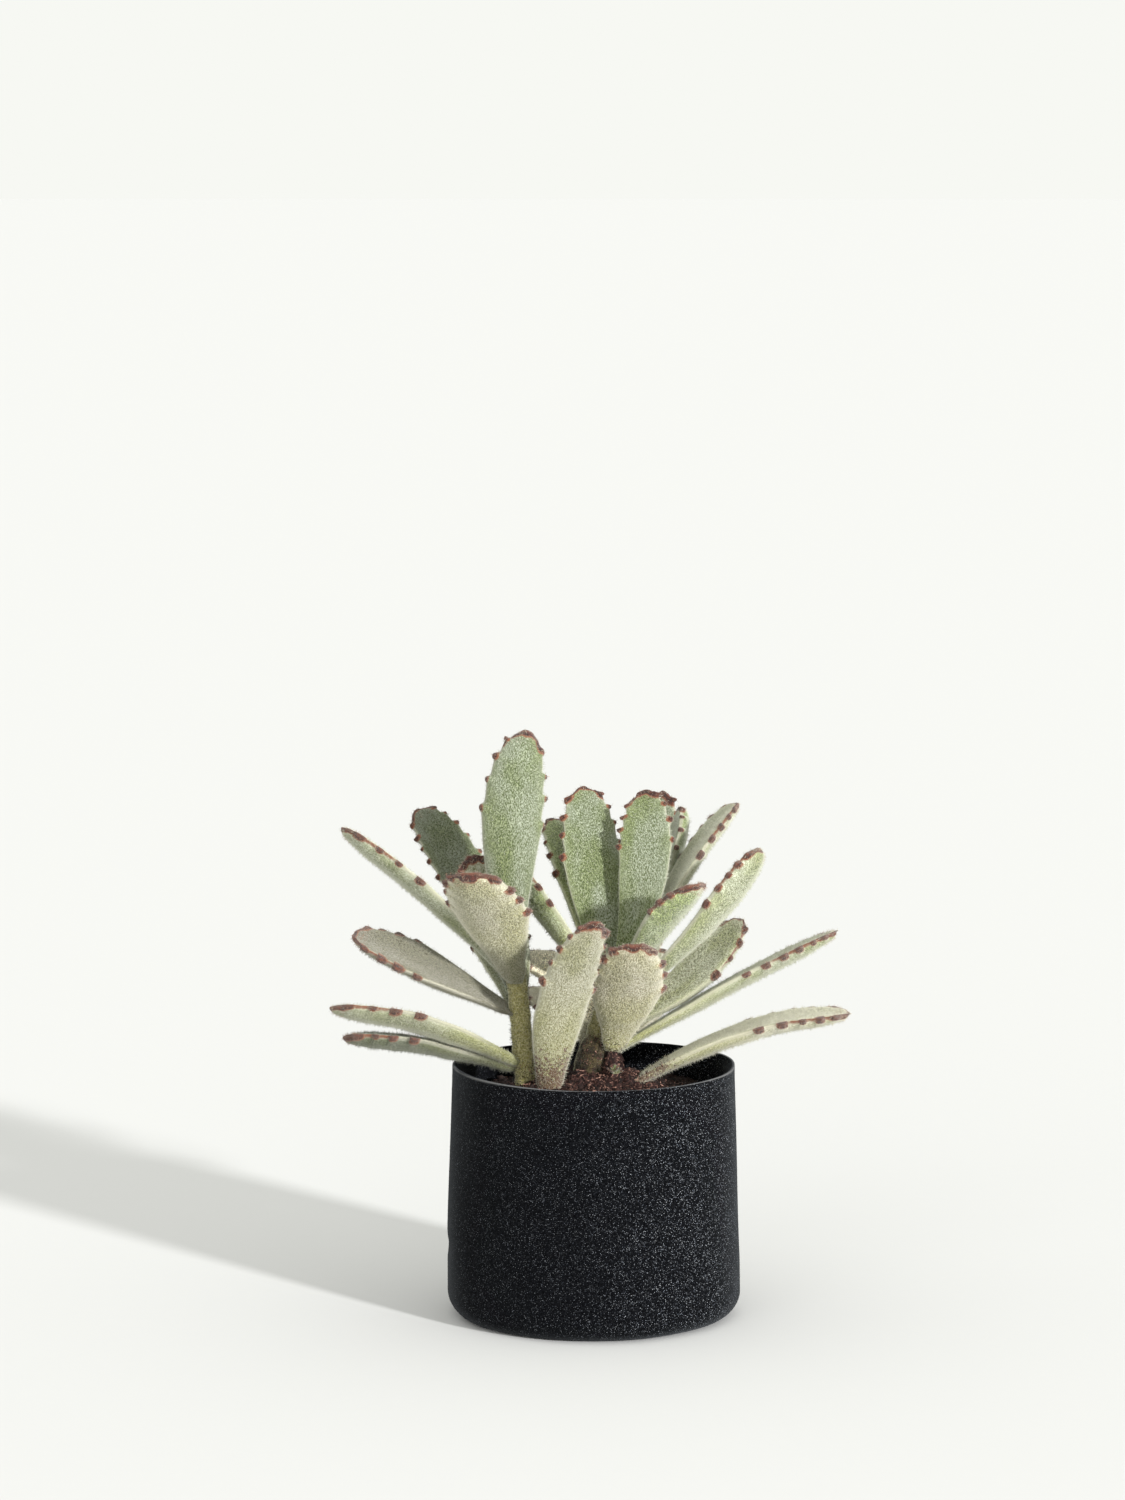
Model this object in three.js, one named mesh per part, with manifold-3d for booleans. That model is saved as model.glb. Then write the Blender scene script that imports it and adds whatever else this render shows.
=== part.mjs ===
// A panda plant (Kalanchoe tomentosa) growing in a small felt pot: three leafy shoots stand in potting soil.
// Millimetres, +Z up. The origin is the centre of the pot's underside; -Y is the plant's front and +X its right.
import * as THREE from "three";
import { mergeVertices } from "three/addons/utils/BufferGeometryUtils.js";
import Module from "manifold-3d";

const wasm = await Module();
wasm.setup();

// ---------------------------------------------------------------- driving dimensions

const GAP = 0.3; // clearance between pieces that rest against each other

const POT = {
  height: 57.3,
  rimRadius: 32,
  waistRadius: 32.6,
  waistHeight: 35.5,
  bellyRadius: 33.3,
  bellyHeight: 13,
  cornerRadius: 5.5,
  wall: 1.3,
  sides: 40,
};

const SOIL = { level: 50, mound: 3.5, roughness: 0.35, sides: 30 };

// Each stem follows a curve from its foot in the soil to its growing tip.
const STEMS = {
  left: { path: [[-15.2, -4, 30], [-15.5, -5, 54], [-17.8, -6, 81]], footRadius: 2.7, tipRadius: 2.2 },
  middle: { path: [[-1, 0, 30], [-0.9, 0, 56], [3.2, 1.4, 69], [5.2, 2.5, 79]], footRadius: 5.2, tipRadius: 2.5 },
  back: { path: [[2, 12, 30], [2.4, 13, 54], [7, 16, 76]], footRadius: 3, tipRadius: 2.3 },
};
const STEM_SIDES = 12;
const STEM_STATIONS = 9;

// One row a leaf: the height at which it grows from its stem, the direction its upper face turns away from
// in degrees (0 right, 90 back, 180 left, 270 front), the points its centre line passes half way and at its
// tip, the roll of the blade in degrees, and the blade's width. A leaf with a root grows from that point.
const LEAVES = {
  left: [
    { height: 79, around: 280, mid: [-18.6, -9, 109.4], tip: [-15.1, -8, 134.2], roll: 0, width: 13.4 },
    { height: 77, around: 252, mid: [-22.8, -20, 93], tip: [-28, -34, 106], roll: 0, width: 17.2 },
    { height: 79, around: 120, mid: [-23.6, -2.5, 92.4], tip: [-27.9, -1, 104.9], roll: 0, width: 10.5 },
    { height: 74, around: 112, mid: [-29, 9, 98], tip: [-40.3, 16, 113.1], roll: 0, width: 11.8 },
    { height: 78, around: 185, mid: [-37.3, -6, 97.2], tip: [-56.5, -6, 112.3], roll: 8, width: 12.5 },
    { height: 70, around: 190, mid: [-36.4, -8, 80.2], tip: [-53.8, -8, 88.2], roll: -24, width: 14 },
    { height: 58.5, around: 200, mid: [-37.2, -10, 68], tip: [-59, -12, 72.4], roll: 12, width: 13 },
    { height: 57, around: 165, mid: [-37.7, -4, 62.7], tip: [-56.2, -4, 64.3], roll: 10, width: 12 },
    { root: [-10.2, -7.5, 50], around: 285, mid: [-6.9, -18.5, 74.8], tip: [0.6, -31.5, 95], roll: 0, width: 12, base: 0.5, widest: 0.45 },
    { height: 72, around: 95, mid: [-21, 10, 87], tip: [-24.8, 25, 95], roll: 0, width: 12.5 },
    { height: 68, around: 90, mid: [-20.5, 14, 80], tip: [-24.5, 31, 86], roll: 0, width: 12.5 },
  ],
  middle: [
    { root: [4, -2.2, 60.5], around: 275, mid: [7, -12, 74.2], tip: [8.4, -28.5, 89.5], roll: 0, width: 15.6 },
    { root: [3.4, 3, 76.5], around: 105, mid: [-0.3, 9, 100.6], tip: [-2.1, 14, 118.7], roll: 0, width: 13, base: 0.5, widest: 0.5 },
    { root: [6.4, 2.2, 77], around: 75, mid: [11.6, 4, 103], tip: [10.9, 8, 118.3], roll: 0, width: 11.6, base: 0.5, widest: 0.5 },
    { height: 75, around: 315, mid: [14.9, -9, 91.2], tip: [22.4, -18, 101.1], roll: 0, width: 11.5 },
    { height: 70, around: 345, mid: [25, -5, 90.6], tip: [37, -8, 107.8], roll: -14, width: 12.5, base: 0.28, widest: 0.66 },
    { height: 65, around: 15, mid: [21.2, 3, 76], tip: [33.5, 7, 89.6], roll: 22, width: 11.6 },
    { height: 59, around: 350, mid: [30.2, 0, 75.4], tip: [54.7, 0, 87.8], roll: 0, width: 12.5, thickness: 3.4 },
    { root: [5, -3, 51.5], around: 345, mid: [31.9, -3, 64.8], tip: [57.4, -5, 69.8], roll: 6, width: 12.5 },
    { root: [6, 3.6, 73.5], around: 14, mid: [20.2, 8, 100.2], tip: [32.4, 12, 115.3], roll: 0, width: 11, thickness: 3.4 },
    { root: [2.2, 3.6, 70.5], around: 125, mid: [-3.4, 15, 95.8], tip: [-10.2, 23, 110], roll: 0, width: 10.5 },
    { height: 74, around: 190, mid: [-10, 3, 90.7], tip: [-20.2, 4, 105], roll: 10, width: 12 },
    { height: 66, around: 130, mid: [-8, 13, 76], tip: [-17.5, 25, 78.5], roll: 0, width: 13 },
    { height: 61, around: 120, mid: [-6.5, 18, 65.8], tip: [-15.5, 33, 69.3], roll: 0, width: 10.5 },
  ],
  back: [
    { height: 72, around: 60, mid: [13.7, 26, 96.5], tip: [15.8, 30, 115.5], roll: 0, width: 10 },
    { height: 70, around: 10, mid: [16.9, 18, 99], tip: [19.6, 21, 113.1], roll: 0, width: 9.6 },
    { height: 73, around: 130, mid: [4, 27, 90], tip: [3, 37, 99.5], roll: 0, width: 12 },
    { height: 66, around: 150, mid: [1, 26, 82], tip: [0, 38, 93], roll: 0, width: 12.5 },
    { height: 66, around: 60, mid: [9.5, 28, 74], tip: [9.5, 42, 79.5], roll: 0, width: 12.5 },
    { height: 58, around: 110, mid: [3, 31, 68], tip: [1.5, 46, 74], roll: 0, width: 12.5 },
    { height: 57, around: 50, mid: [11, 29, 64], tip: [13, 45, 66], roll: 0, width: 12.5 },
  ],
};

const LEAF = {
  thickness: 4,
  above: 0.22, // the flat upper face and the full lower one, as shares of the thickness
  below: 0.6,
  base: 0.36, // half-width at the base, as a share of the widest
  widest: 0.58, // share of the length
  tipPower: 2.1, // 2 is a half ellipse, less is more pointed
  cup: 0.16, // rise of the margins over the midrib, as a share of the half-width
  sides: 8,
  lowerStations: [0, 0.12, 0.25, 0.37],
  plainStations: [0, 0.3, 0.6, 0.85, 0.97],
};
// The teeth stand closer together towards the tip: crowding is the power of the length that their number follows.
const TEETH = { start: 0.47, end: 0.95, pitch: 5, crowding: 1.3, height: 0.8, peak: 0.8, crown: 0.4 };

// Young leaves folded together at the tip of each stem: direction, lean from upright and length.
const BUD = [
  { around: 20, lean: 18, length: 6 },
  { around: 150, lean: 24, length: 7 },
  { around: 260, lean: 34, length: 5.5 },
];
const BUD_LEAF = { plain: true, width: 4.2, thickness: 2.4, base: 0.6, widest: 0.5 };

// ---------------------------------------------------------------- solids from closed surfaces

/** A closed three.js geometry as a manifold-3d solid. */
function solidOf(geometry) {
  const bare = new THREE.BufferGeometry();
  bare.setAttribute("position", geometry.getAttribute("position"));
  bare.setIndex(geometry.index);
  const merged = mergeVertices(bare, 1e-4);
  const triVerts = [];
  for (let i = 0; i < merged.index.count; i += 3) {
    const [a, b, c] = [0, 1, 2].map((k) => merged.index.getX(i + k));
    if (a !== b && b !== c && c !== a) triVerts.push(a, b, c);
  }
  const vertProperties = merged.attributes.position.array;
  return new wasm.Manifold(new wasm.Mesh({ numProp: 3, vertProperties, triVerts: new Uint32Array(triVerts) }));
}

/** The largest body of a manifold-3d solid, as a three.js geometry. */
function geometryOf(solid) {
  const bodies = solid.decompose().sort((a, b) => b.volume() - a.volume());
  const mesh = bodies[0].getMesh();
  const geometry = new THREE.BufferGeometry();
  geometry.setAttribute("position", new THREE.BufferAttribute(mesh.vertProperties, 3));
  geometry.setIndex(new THREE.BufferAttribute(mesh.triVerts, 1));
  geometry.computeVertexNormals();
  return geometry;
}

/** A closed surface through rings of points, with a fan to a point at each end. */
function loft(rings, startPoint, endPoint) {
  const sides = rings[0].length;
  const points = [startPoint, ...rings.flat(), endPoint];
  const at = (ring, side) => 1 + ring * sides + (side % sides);
  const faces = [];
  for (let side = 0; side < sides; side++) {
    faces.push(0, at(0, side), at(0, side + 1));
    faces.push(points.length - 1, at(rings.length - 1, side + 1), at(rings.length - 1, side));
  }
  for (let ring = 0; ring + 1 < rings.length; ring++) {
    for (let side = 0; side < sides; side++) {
      const [a, b, c, d] = [at(ring, side), at(ring + 1, side), at(ring + 1, side + 1), at(ring, side + 1)];
      if (side < sides / 2) faces.push(a, b, c, a, c, d);
      else faces.push(a, b, d, b, c, d);
    }
  }
  const geometry = new THREE.BufferGeometry().setFromPoints(points);
  geometry.setIndex(faces);
  return geometry;
}

// ---------------------------------------------------------------- pot and soil

const arc = (centreX, centreY, radius, from, to, steps) =>
  Array.from({ length: steps + 1 }, (_, i) => {
    const angle = THREE.MathUtils.degToRad(from + ((to - from) * i) / steps);
    return new THREE.Vector2(centreX + radius * Math.cos(angle), centreY + radius * Math.sin(angle));
  });

/** The pot's outline from the middle of its floor to its rim, moved inwards by inset. */
function potOutline(inset) {
  const corner = POT.cornerRadius;
  return [
    new THREE.Vector2(0, inset),
    ...arc(POT.bellyRadius - corner, corner, corner - inset, -90, 0, 4),
    new THREE.Vector2(POT.bellyRadius - inset, POT.bellyHeight),
    new THREE.Vector2(POT.waistRadius - inset, POT.waistHeight),
    new THREE.Vector2(POT.rimRadius - inset, POT.height),
  ];
}

function feltPot() {
  const profile = [...potOutline(0), ...potOutline(POT.wall).reverse()];
  return new THREE.LatheGeometry(profile, POT.sides).rotateX(Math.PI / 2);
}

/** Height of the soil's surface over a point: mounded in the middle, with low clods. */
function soilHeight(x, y) {
  const mound = SOIL.mound * Math.max(0, 1 - Math.hypot(x, y) / 30);
  const clods = Math.sin(0.9 * x + 1.3) * Math.cos(0.75 * y) + Math.sin(0.5 * x - 0.8 * y);
  return SOIL.level + mound + SOIL.roughness * clods;
}

/** The plug of soil that fills the pot. */
function soilSurface() {
  const inside = potOutline(POT.wall + GAP).filter((point) => point.y < SOIL.level - 2);
  const edge = POT.rimRadius - POT.wall - GAP;
  const surface = [1, 0.8, 0.58, 0.3, 0].map((share) => new THREE.Vector2(edge * share, SOIL.level));
  const body = new THREE.LatheGeometry([...inside, ...surface], SOIL.sides).rotateX(Math.PI / 2);
  const position = body.getAttribute("position");
  for (let i = 0; i < position.count; i++) {
    if (position.getZ(i) < SOIL.level - 1e-3) continue;
    position.setZ(i, soilHeight(position.getX(i), position.getY(i)));
  }
  return body;
}

// ---------------------------------------------------------------- stems

const stemCurve = (stem) => new THREE.CatmullRomCurve3(stem.path.map((point) => new THREE.Vector3(...point)));

/** The stem's centre and radius where it stands at a height. */
function stemAt(stem, height) {
  const curve = stemCurve(stem);
  let [low, high] = [0, 1];
  for (let step = 0; step < 20; step++) {
    const middle = (low + high) / 2;
    if (curve.getPoint(middle).z < height) low = middle;
    else high = middle;
  }
  return { centre: curve.getPoint(low), radius: THREE.MathUtils.lerp(stem.footRadius, stem.tipRadius, low) };
}

/** A round stem with a domed tip, thickened by grow. */
function stemSurface(stem, grow) {
  const curve = stemCurve(stem);
  const ring = (centre, radius) =>
    Array.from({ length: STEM_SIDES }, (_, side) => {
      const angle = (2 * Math.PI * side) / STEM_SIDES;
      return new THREE.Vector3(centre.x + radius * Math.cos(angle), centre.y + radius * Math.sin(angle), centre.z);
    }).reverse();
  const rings = [];
  for (let station = 0; station < STEM_STATIONS; station++) {
    const share = station / (STEM_STATIONS - 1);
    const radius = THREE.MathUtils.lerp(stem.footRadius, stem.tipRadius, share) + grow;
    rings.push(ring(curve.getPoint(share), radius));
  }
  const [foot, tip] = [curve.getPoint(0), curve.getPoint(1)];
  rings.push(ring(tip.clone().setZ(tip.z + 1.4), 0.7 * stem.tipRadius + grow));
  rings[0].forEach((point) => (point.z -= grow));
  return loft(rings, foot.setZ(foot.z - grow), tip.setZ(tip.z + 2.2 + grow));
}

// ---------------------------------------------------------------- leaves

/** Half-width of the plain blade at a share of its length, as a share of the widest. */
function outline(leaf, share) {
  const { base, widest } = { ...LEAF, ...leaf };
  if (share < widest) return base + (1 - base) * THREE.MathUtils.smoothstep(share, 0.02, widest);
  const over = Math.min(1, (share - widest) / (1 - widest));
  return Math.pow(1 - Math.pow(over, LEAF.tipPower), 1 / LEAF.tipPower);
}

/** How many teeth a margin of this length has, their mean pitch and where one starts, as shares of the length. */
function toothPlan(length) {
  const toothed = TEETH.end - TEETH.start;
  const count = Math.max(2, Math.round((toothed * length) / TEETH.pitch));
  const shareAt = (number) => TEETH.start + toothed * (number / count) ** (1 / TEETH.crowding);
  return { count, pitch: toothed / count, shareAt };
}

/** The leaf's centre line, and the frame of its blade at a share of its length. */
function leafFrame(leaf, stem) {
  const around = THREE.MathUtils.degToRad(leaf.around);
  const out = new THREE.Vector3(Math.cos(around), Math.sin(around), 0);
  const onStem = ({ centre, radius }) => centre.clone().addScaledVector(out, 0.45 * radius);
  const base = leaf.root ? new THREE.Vector3(...leaf.root) : onStem(stemAt(stem, leaf.height));
  const tip = new THREE.Vector3(...leaf.tip);
  const control = new THREE.Vector3(...leaf.mid).multiplyScalar(2).addScaledVector(base, -0.5).addScaledVector(tip, -0.5);
  const line = new THREE.QuadraticBezierCurve3(base, control, tip);
  const up = new THREE.Vector3(0, 0, 1);
  const at = (share) => {
    const along = line.getTangent(share);
    const upper = out.clone().multiplyScalar(-along.dot(up)).addScaledVector(up, along.dot(out));
    upper.addScaledVector(along, -upper.dot(along)).normalize();
    upper.applyAxisAngle(along, THREE.MathUtils.degToRad(leaf.roll));
    return { point: line.getPoint(share), along, upper, side: along.clone().cross(upper) };
  };
  return { base, length: line.getLength(), at };
}

/** The shares of the length at which a blade has a ring of points, and how far its teeth stand out there. */
function leafStations({ count, shareAt }) {
  const stations = LEAF.lowerStations.map((share) => ({ share, tooth: 0 }));
  for (let k = 0; k < count; k++) {
    stations.push({ share: shareAt(k), tooth: 0 });
    stations.push({ share: shareAt(k + TEETH.peak), tooth: TEETH.height });
  }
  return [...stations, { share: TEETH.end, tooth: 0 }, { share: 0.985, tooth: 0 }];
}

/** A thick toothed blade on its centre line, thickened by grow. */
function leafSurface(leaf, stem, grow) {
  const frame = leafFrame(leaf, stem);
  const plan = toothPlan(frame.length);
  const stations = leaf.plain ? LEAF.plainStations.map((share) => ({ share, tooth: 0 })) : leafStations(plan);
  const { smoothstep } = THREE.MathUtils;
  const rings = stations.map(({ share, tooth }) => {
    const slant = 0.25 * plan.pitch * smoothstep(share, 0.3, 0.5) * (1 - smoothstep(share, 0.85, 1));
    return Array.from({ length: LEAF.sides }, (_, k) => {
      const angle = (2 * Math.PI * k) / LEAF.sides;
      const [across, over] = [Math.cos(angle), Math.sin(angle)];
      const here = Math.min(1, share + slant * across);
      const { point, upper, side } = frame.at(here);
      const plain = outline(leaf, here) * leaf.width * 0.5;
      const half = plain + tooth * Math.abs(across) ** 4 + grow;
      const depth = (leaf.thickness ?? LEAF.thickness) * Math.min(1, 0.25 + 0.9 * outline(leaf, here));
      const flesh = depth * (over > 0 ? LEAF.above : LEAF.below) + grow;
      const lift = LEAF.cup * plain * across * across;
      return point.clone().addScaledVector(side, half * across).addScaledVector(upper, flesh * over + lift);
    });
  });
  const end = frame.at(1);
  const start = frame.base.clone().addScaledVector(frame.at(0).along, -grow);
  rings[0].forEach((point) => point.addScaledVector(frame.at(0).along, -grow));
  return loft(rings, start, end.point.clone().addScaledVector(end.along, TEETH.crown + grow));
}

// ---------------------------------------------------------------- assembly

const FINISH = {
  felt: new THREE.MeshStandardMaterial({ color: 0x24262b, roughness: 0.95, metalness: 0 }),
  soil: new THREE.MeshStandardMaterial({ color: 0x3b261b, roughness: 1, metalness: 0 }),
  stem: new THREE.MeshStandardMaterial({ color: 0x8a8d5c, roughness: 0.9, metalness: 0 }),
  leaf: new THREE.MeshStandardMaterial({ color: 0x9db08c, roughness: 0.9, metalness: 0 }),
};

function named(name, geometry, material, place = new THREE.Vector3()) {
  const mesh = new THREE.Mesh(geometry.translate(-place.x, -place.y, -place.z), material);
  mesh.name = name;
  mesh.position.copy(place);
  return mesh;
}

/** A stem with its youngest leaves, which fold over its tip, thickened by grow. */
function stemSolid(stem, grow) {
  const tip = stem.path.at(-1);
  const young = BUD.map(({ around, lean, length }) => {
    const [turn, tilt] = [around, lean].map(THREE.MathUtils.degToRad);
    const aside = new THREE.Vector3(Math.cos(turn), Math.sin(turn), 0).multiplyScalar(length * Math.sin(tilt));
    const root = new THREE.Vector3(tip[0], tip[1], tip[2] - 1).addScaledVector(aside, 0.15);
    const end = root.clone().add(aside).setZ(root.z + length * Math.cos(tilt));
    const middle = root.clone().lerp(end, 0.5).setZ(root.z + 0.6 * length * Math.cos(tilt));
    const leaf = { around, root: root.toArray(), mid: middle.toArray(), tip: end.toArray(), roll: 0 };
    return solidOf(leafSurface({ ...leaf, ...BUD_LEAF }, stem, grow));
  });
  return young.reduce((whole, leaf) => whole.add(leaf), solidOf(stemSurface(stem, grow)));
}

/** A stem and its leaves. Each leaf is cut clear of its stem and of the leaves that are already in place. */
function shoot(name, taken) {
  const stem = STEMS[name];
  const group = new THREE.Group();
  group.add(named(name + "_stem", geometryOf(stemSolid(stem, 0)), FINISH.stem));
  LEAVES[name].forEach((leaf, index) => {
    const whole = solidOf(leafSurface(leaf, stem, 0));
    const clear = taken.reduce((left, other) => left.subtract(other), whole);
    const label = `${name}_leaf_${String(index + 1).padStart(2, "0")}`;
    group.add(named(label, geometryOf(clear), FINISH.leaf, leafFrame(leaf, stem).base));
    taken.push(solidOf(leafSurface(leaf, stem, GAP)));
  });
  return group;
}

const plant = new THREE.Group();
const taken = Object.values(STEMS).map((stem) => stemSolid(stem, GAP));
const shoots = Object.keys(STEMS).map((name) => shoot(name, taken));
const soil = taken.reduce((left, grown) => left.subtract(grown), solidOf(soilSurface()));
plant.add(named("felt_pot", geometryOf(solidOf(feltPot())), FINISH.felt));
plant.add(named("potting_soil", geometryOf(soil), FINISH.soil));
plant.add(...shoots);

export default plant;
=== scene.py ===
"""A panda plant in a small felt pot, finished round its frame.

Metres, +Z up. The origin is the centre of the pot's underside; -Y is the plant's front and +X its right. The
tables of sizes are in millimetres and degrees, as the part's source has them. The inputs of node trees and of
finishes are in metres, and the scale of a noise is the number of its lumps in a metre.
"""

import math

import bpy
import numpy as np
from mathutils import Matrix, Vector


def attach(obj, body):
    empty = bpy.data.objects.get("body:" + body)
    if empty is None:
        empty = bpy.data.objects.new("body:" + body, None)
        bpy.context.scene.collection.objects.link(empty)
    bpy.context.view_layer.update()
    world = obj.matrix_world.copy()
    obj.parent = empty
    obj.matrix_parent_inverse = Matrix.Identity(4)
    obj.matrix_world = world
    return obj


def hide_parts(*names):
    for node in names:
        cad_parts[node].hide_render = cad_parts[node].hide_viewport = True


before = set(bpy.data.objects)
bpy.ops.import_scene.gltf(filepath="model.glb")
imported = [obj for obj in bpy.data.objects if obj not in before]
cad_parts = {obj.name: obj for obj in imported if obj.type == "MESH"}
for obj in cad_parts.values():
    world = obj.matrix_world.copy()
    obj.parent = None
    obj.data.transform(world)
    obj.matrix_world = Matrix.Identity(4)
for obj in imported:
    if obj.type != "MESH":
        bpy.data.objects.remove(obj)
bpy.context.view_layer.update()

MM = 0.001

# ---------------------------------------------------------------- sizes and places, as in the part's source

# The pot's radii and their heights, its rounded bottom corner, its wall, the thickness and rounding of its
# lip, and how far below the rim the wall starts to thin towards it.
POT = {
    "height": 57.3, "rim": 32.0, "waist": 32.6, "waist_height": 35.5, "belly": 33.3, "belly_height": 13.0,
    "corner": 5.5, "wall": 1.3, "lip": 0.7, "edge": 0.2, "thinning": 2.0}

# The soil's level at the wall, its mound and how far that reaches, the height of its clods, its radius and
# its gap to the pot.
SOIL = {"level": 50.0, "mound": 3.5, "mound_reach": 30, "roughness": 0.35, "edge": 30.4, "gap": 0.3}

# Soil heaped round a stem or a leaf: its middle, the radius of what stands in it, and its rise.
SOIL_HEAPS = [
    (-0.4, 0, 4.4, 2.6), (-15.5, -5, 2.7, 1.6), (2.4, 13, 3, 1.2), (9, -3, 3, 1.5), (-10, -8, 4, 1.2)]
HEAP_REACH = 3.2

# Dents in the felt: the direction and height of the middle, the width, the height and the depth.
DENTS = [(184, 15.5, 5, 2.2, 0.7), (350, 8.5, 6, 1.8, 0.9), (232, 6, 12, 3.5, 0.5)]
WALL_RADIUS = 33  # where a dent's width is measured
ROUND = {"pot": 200, "soil": 150, "heap": 48}  # sides of the turned shapes

# A stem's path and its radius at the foot and the tip, how knotty it is, the height up to which it is corky,
# and the number of hairs that its leaves have on a square metre.
STEMS = {
    "left": {
        "path": [(-15.2, -4, 30), (-15.5, -5, 54), (-17.8, -6, 81)], "radii": (2.7, 2.2),
        "knots": 0.4, "cork": 60, "down": 4e6},
    "middle": {
        "path": [(-1, 0, 30), (-0.9, 0, 56), (3.2, 1.4, 69), (5.2, 2.5, 79)], "radii": (5.2, 2.5),
        "knots": 0.7, "cork": 76, "down": 4e6},
    "back": {
        "path": [(2, 12, 30), (2.4, 13, 54), (7, 16, 76)], "radii": (3.0, 2.3),
        "knots": 0.4, "cork": 60, "down": 2e6},
}
STEM_END = 2.2  # a stem goes on this far above its path, under its folded leaves


def leaf(start, around, half_way, tip, width, **kind):
    """One leaf: the height on its stem or the root that it grows from, the direction that its upper face
    turns away from, the points half way and at the tip, the width, and what differs from a plain leaf.

    roll turns it about its length, base is the width of its foot as a share, widest is where it is widest,
    and teeth and tooth are the number and the height of its teeth. age is 0 for a young green leaf and 1 for
    an old cream one. sun is how yellow its lower part is, scurf how much brown dust lies there. light is how
    bright the leaf is, partly its own tone and partly painted light and shade: above 1 it brightens a leaf
    that the lamps leave in shade, below 1 it darkens a leaf that lies in another's shadow. foot is the share
    of that which its foot keeps, a painted shadow across the foot. rust is how brown its tip is, cap how
    broad that brown is, and line how brown its margin is. edge_on gives it the longer knobs of a margin that
    is turned to the front.
    """
    return {"start": start, "around": around, "points": (half_way, tip), "width": width, "kind": kind}


# light in the rows below is partly a leaf's own tone and partly painted light and shade: the fourth left leaf
# is darkened as a painted shadow of the first, and the twelfth middle leaf is brightened as painted light
# where the lamps leave it in shade.
LEAVES = {
    "left": [
        leaf(79, 280, (-18.6, -9, 109.4), (-15.1, -8, 134.2), 13.4, teeth=4, tooth=0.6, cap=0.85, light=0.8),
        # foot paints the shadow that falls across this leaf's foot.
        leaf(77, 252, (-22.8, -20, 93), (-28, -34, 106), 17.2,
            age=0.7, rust=1.3, light=1.12, foot=0.5, sun=0.4, cap=0.9),
        leaf(79, 120, (-23.6, -2.5, 92.4), (-27.9, -1, 104.9), 10.5, age=0.4, rust=1.2),
        leaf(74, 112, (-29, 9, 98), (-40.3, 16, 113.1), 11.8, light=0.52, cap=0.4),
        leaf(78, 185, (-37.3, -6, 97.2), (-56.5, -6, 112.3), 12.5, roll=8, edge_on=True, age=0.2, teeth=4),
        leaf(70, 190, (-36.4, -8, 80.2), (-53.8, -8, 88.2), 14,
            roll=-24, edge_on=True, age=0.8, rust=1.2, light=0.44),
        leaf(58.5, 200, (-37.2, -10, 68), (-59, -12, 72.4), 13,
            roll=12, edge_on=True, age=0.3, sun=0.8, light=0.86, base=0.46),
        leaf(57, 165, (-37.7, -4, 62.7), (-56.2, -4, 64.3), 12,
            roll=10, edge_on=True, age=0.1, rust=1.2, light=0.42, sun=0.7),
        leaf((-10.2, -7.5, 50), 285, (-6.9, -18.5, 74.8), (0.6, -31.5, 95), 12,
            base=0.5, widest=0.45, age=0.6, sun=0.9, scurf=1.4, light=0.9, cap=0.9),
        leaf(72, 95, (-21, 10, 87), (-24.8, 25, 95), 12.5),
        leaf(68, 90, (-20.5, 14, 80), (-24.5, 31, 86), 12.5, age=0.3),
    ],
    "middle": [
        leaf((4, -2.2, 60.5), 275, (7, -12, 74.2), (8.4, -28.5, 89.5), 15.6,
            age=0.8, rust=1.0, sun=1.0, light=1.1, cap=0.75, scurf=0.4),
        leaf((3.4, 3, 76.5), 105, (-0.3, 9, 100.6), (-2.1, 14, 118.7), 13,
            base=0.5, widest=0.5, light=0.8, teeth=4, tooth=0.7, cap=0.55),
        leaf((6.4, 2.2, 77), 75, (11.6, 4, 103), (10.9, 8, 118.3), 11.6,
            base=0.5, widest=0.5, rust=1.2, cap=0.7, light=0.9),
        leaf(75, 315, (14.9, -9, 91.2), (22.4, -18, 101.1), 11.5,
            edge_on=True, line=0.9, rust=1.3, light=1.75),
        leaf(70, 345, (25, -5, 90.6), (37, -8, 107.8), 12.5,
            roll=-14, edge_on=True, base=0.28, widest=0.66, age=0.2, light=1.28),
        leaf(65, 15, (21.2, 3, 76), (33.5, 7, 89.6), 11.6,
            roll=22, edge_on=True, age=0.3, sun=0.4, light=1.5),
        leaf(59, 350, (30.2, 0, 75.4), (54.7, 0, 87.8), 12.5,
            thickness=3.4, edge_on=True, age=0.2, sun=1.0, light=1.15),
        leaf((5, -3, 51.5), 345, (31.9, -3, 64.8), (57.4, -5, 69.8), 12.5,
            roll=6, edge_on=True, age=0.6, sun=0.8, scurf=1.25, light=1.1, base=0.46),
        leaf((6, 3.6, 73.5), 14, (20.2, 8, 100.2), (32.4, 12, 115.3), 11,
            thickness=3.4, edge_on=True, age=0.3, light=1.3),
        leaf((2.2, 3.6, 70.5), 125, (-3.4, 15, 95.8), (-10.2, 23, 110), 10.5, cap=0.6, light=1.6, sun=0.6),
        leaf(74, 190, (-10, 3, 90.7), (-20.2, 4, 105), 12, roll=10, edge_on=True, sun=1.0, light=1.5),
        leaf(66, 130, (-8, 13, 76), (-17.5, 25, 78.5), 13, age=1.0, light=3.2),
        leaf(61, 120, (-6.5, 18, 65.8), (-15.5, 33, 69.3), 10.5, age=0.8),
    ],
    "back": [
        leaf(72, 60, (13.7, 26, 96.5), (15.8, 30, 115.5), 10),
        leaf(70, 10, (16.9, 18, 99), (19.6, 21, 113.1), 9.6),
        leaf(73, 130, (4, 27, 90), (3, 37, 99.5), 12),
        leaf(66, 150, (1, 26, 82), (0, 38, 93), 12.5, age=0.3),
        leaf(66, 60, (9.5, 28, 74), (9.5, 42, 79.5), 12.5, age=0.5),
        leaf(58, 110, (3, 31, 68), (1.5, 46, 74), 12.5, age=0.6),
        leaf(57, 50, (11, 29, 64), (13, 45, 66), 12.5, age=0.7),
    ],
}

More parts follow.
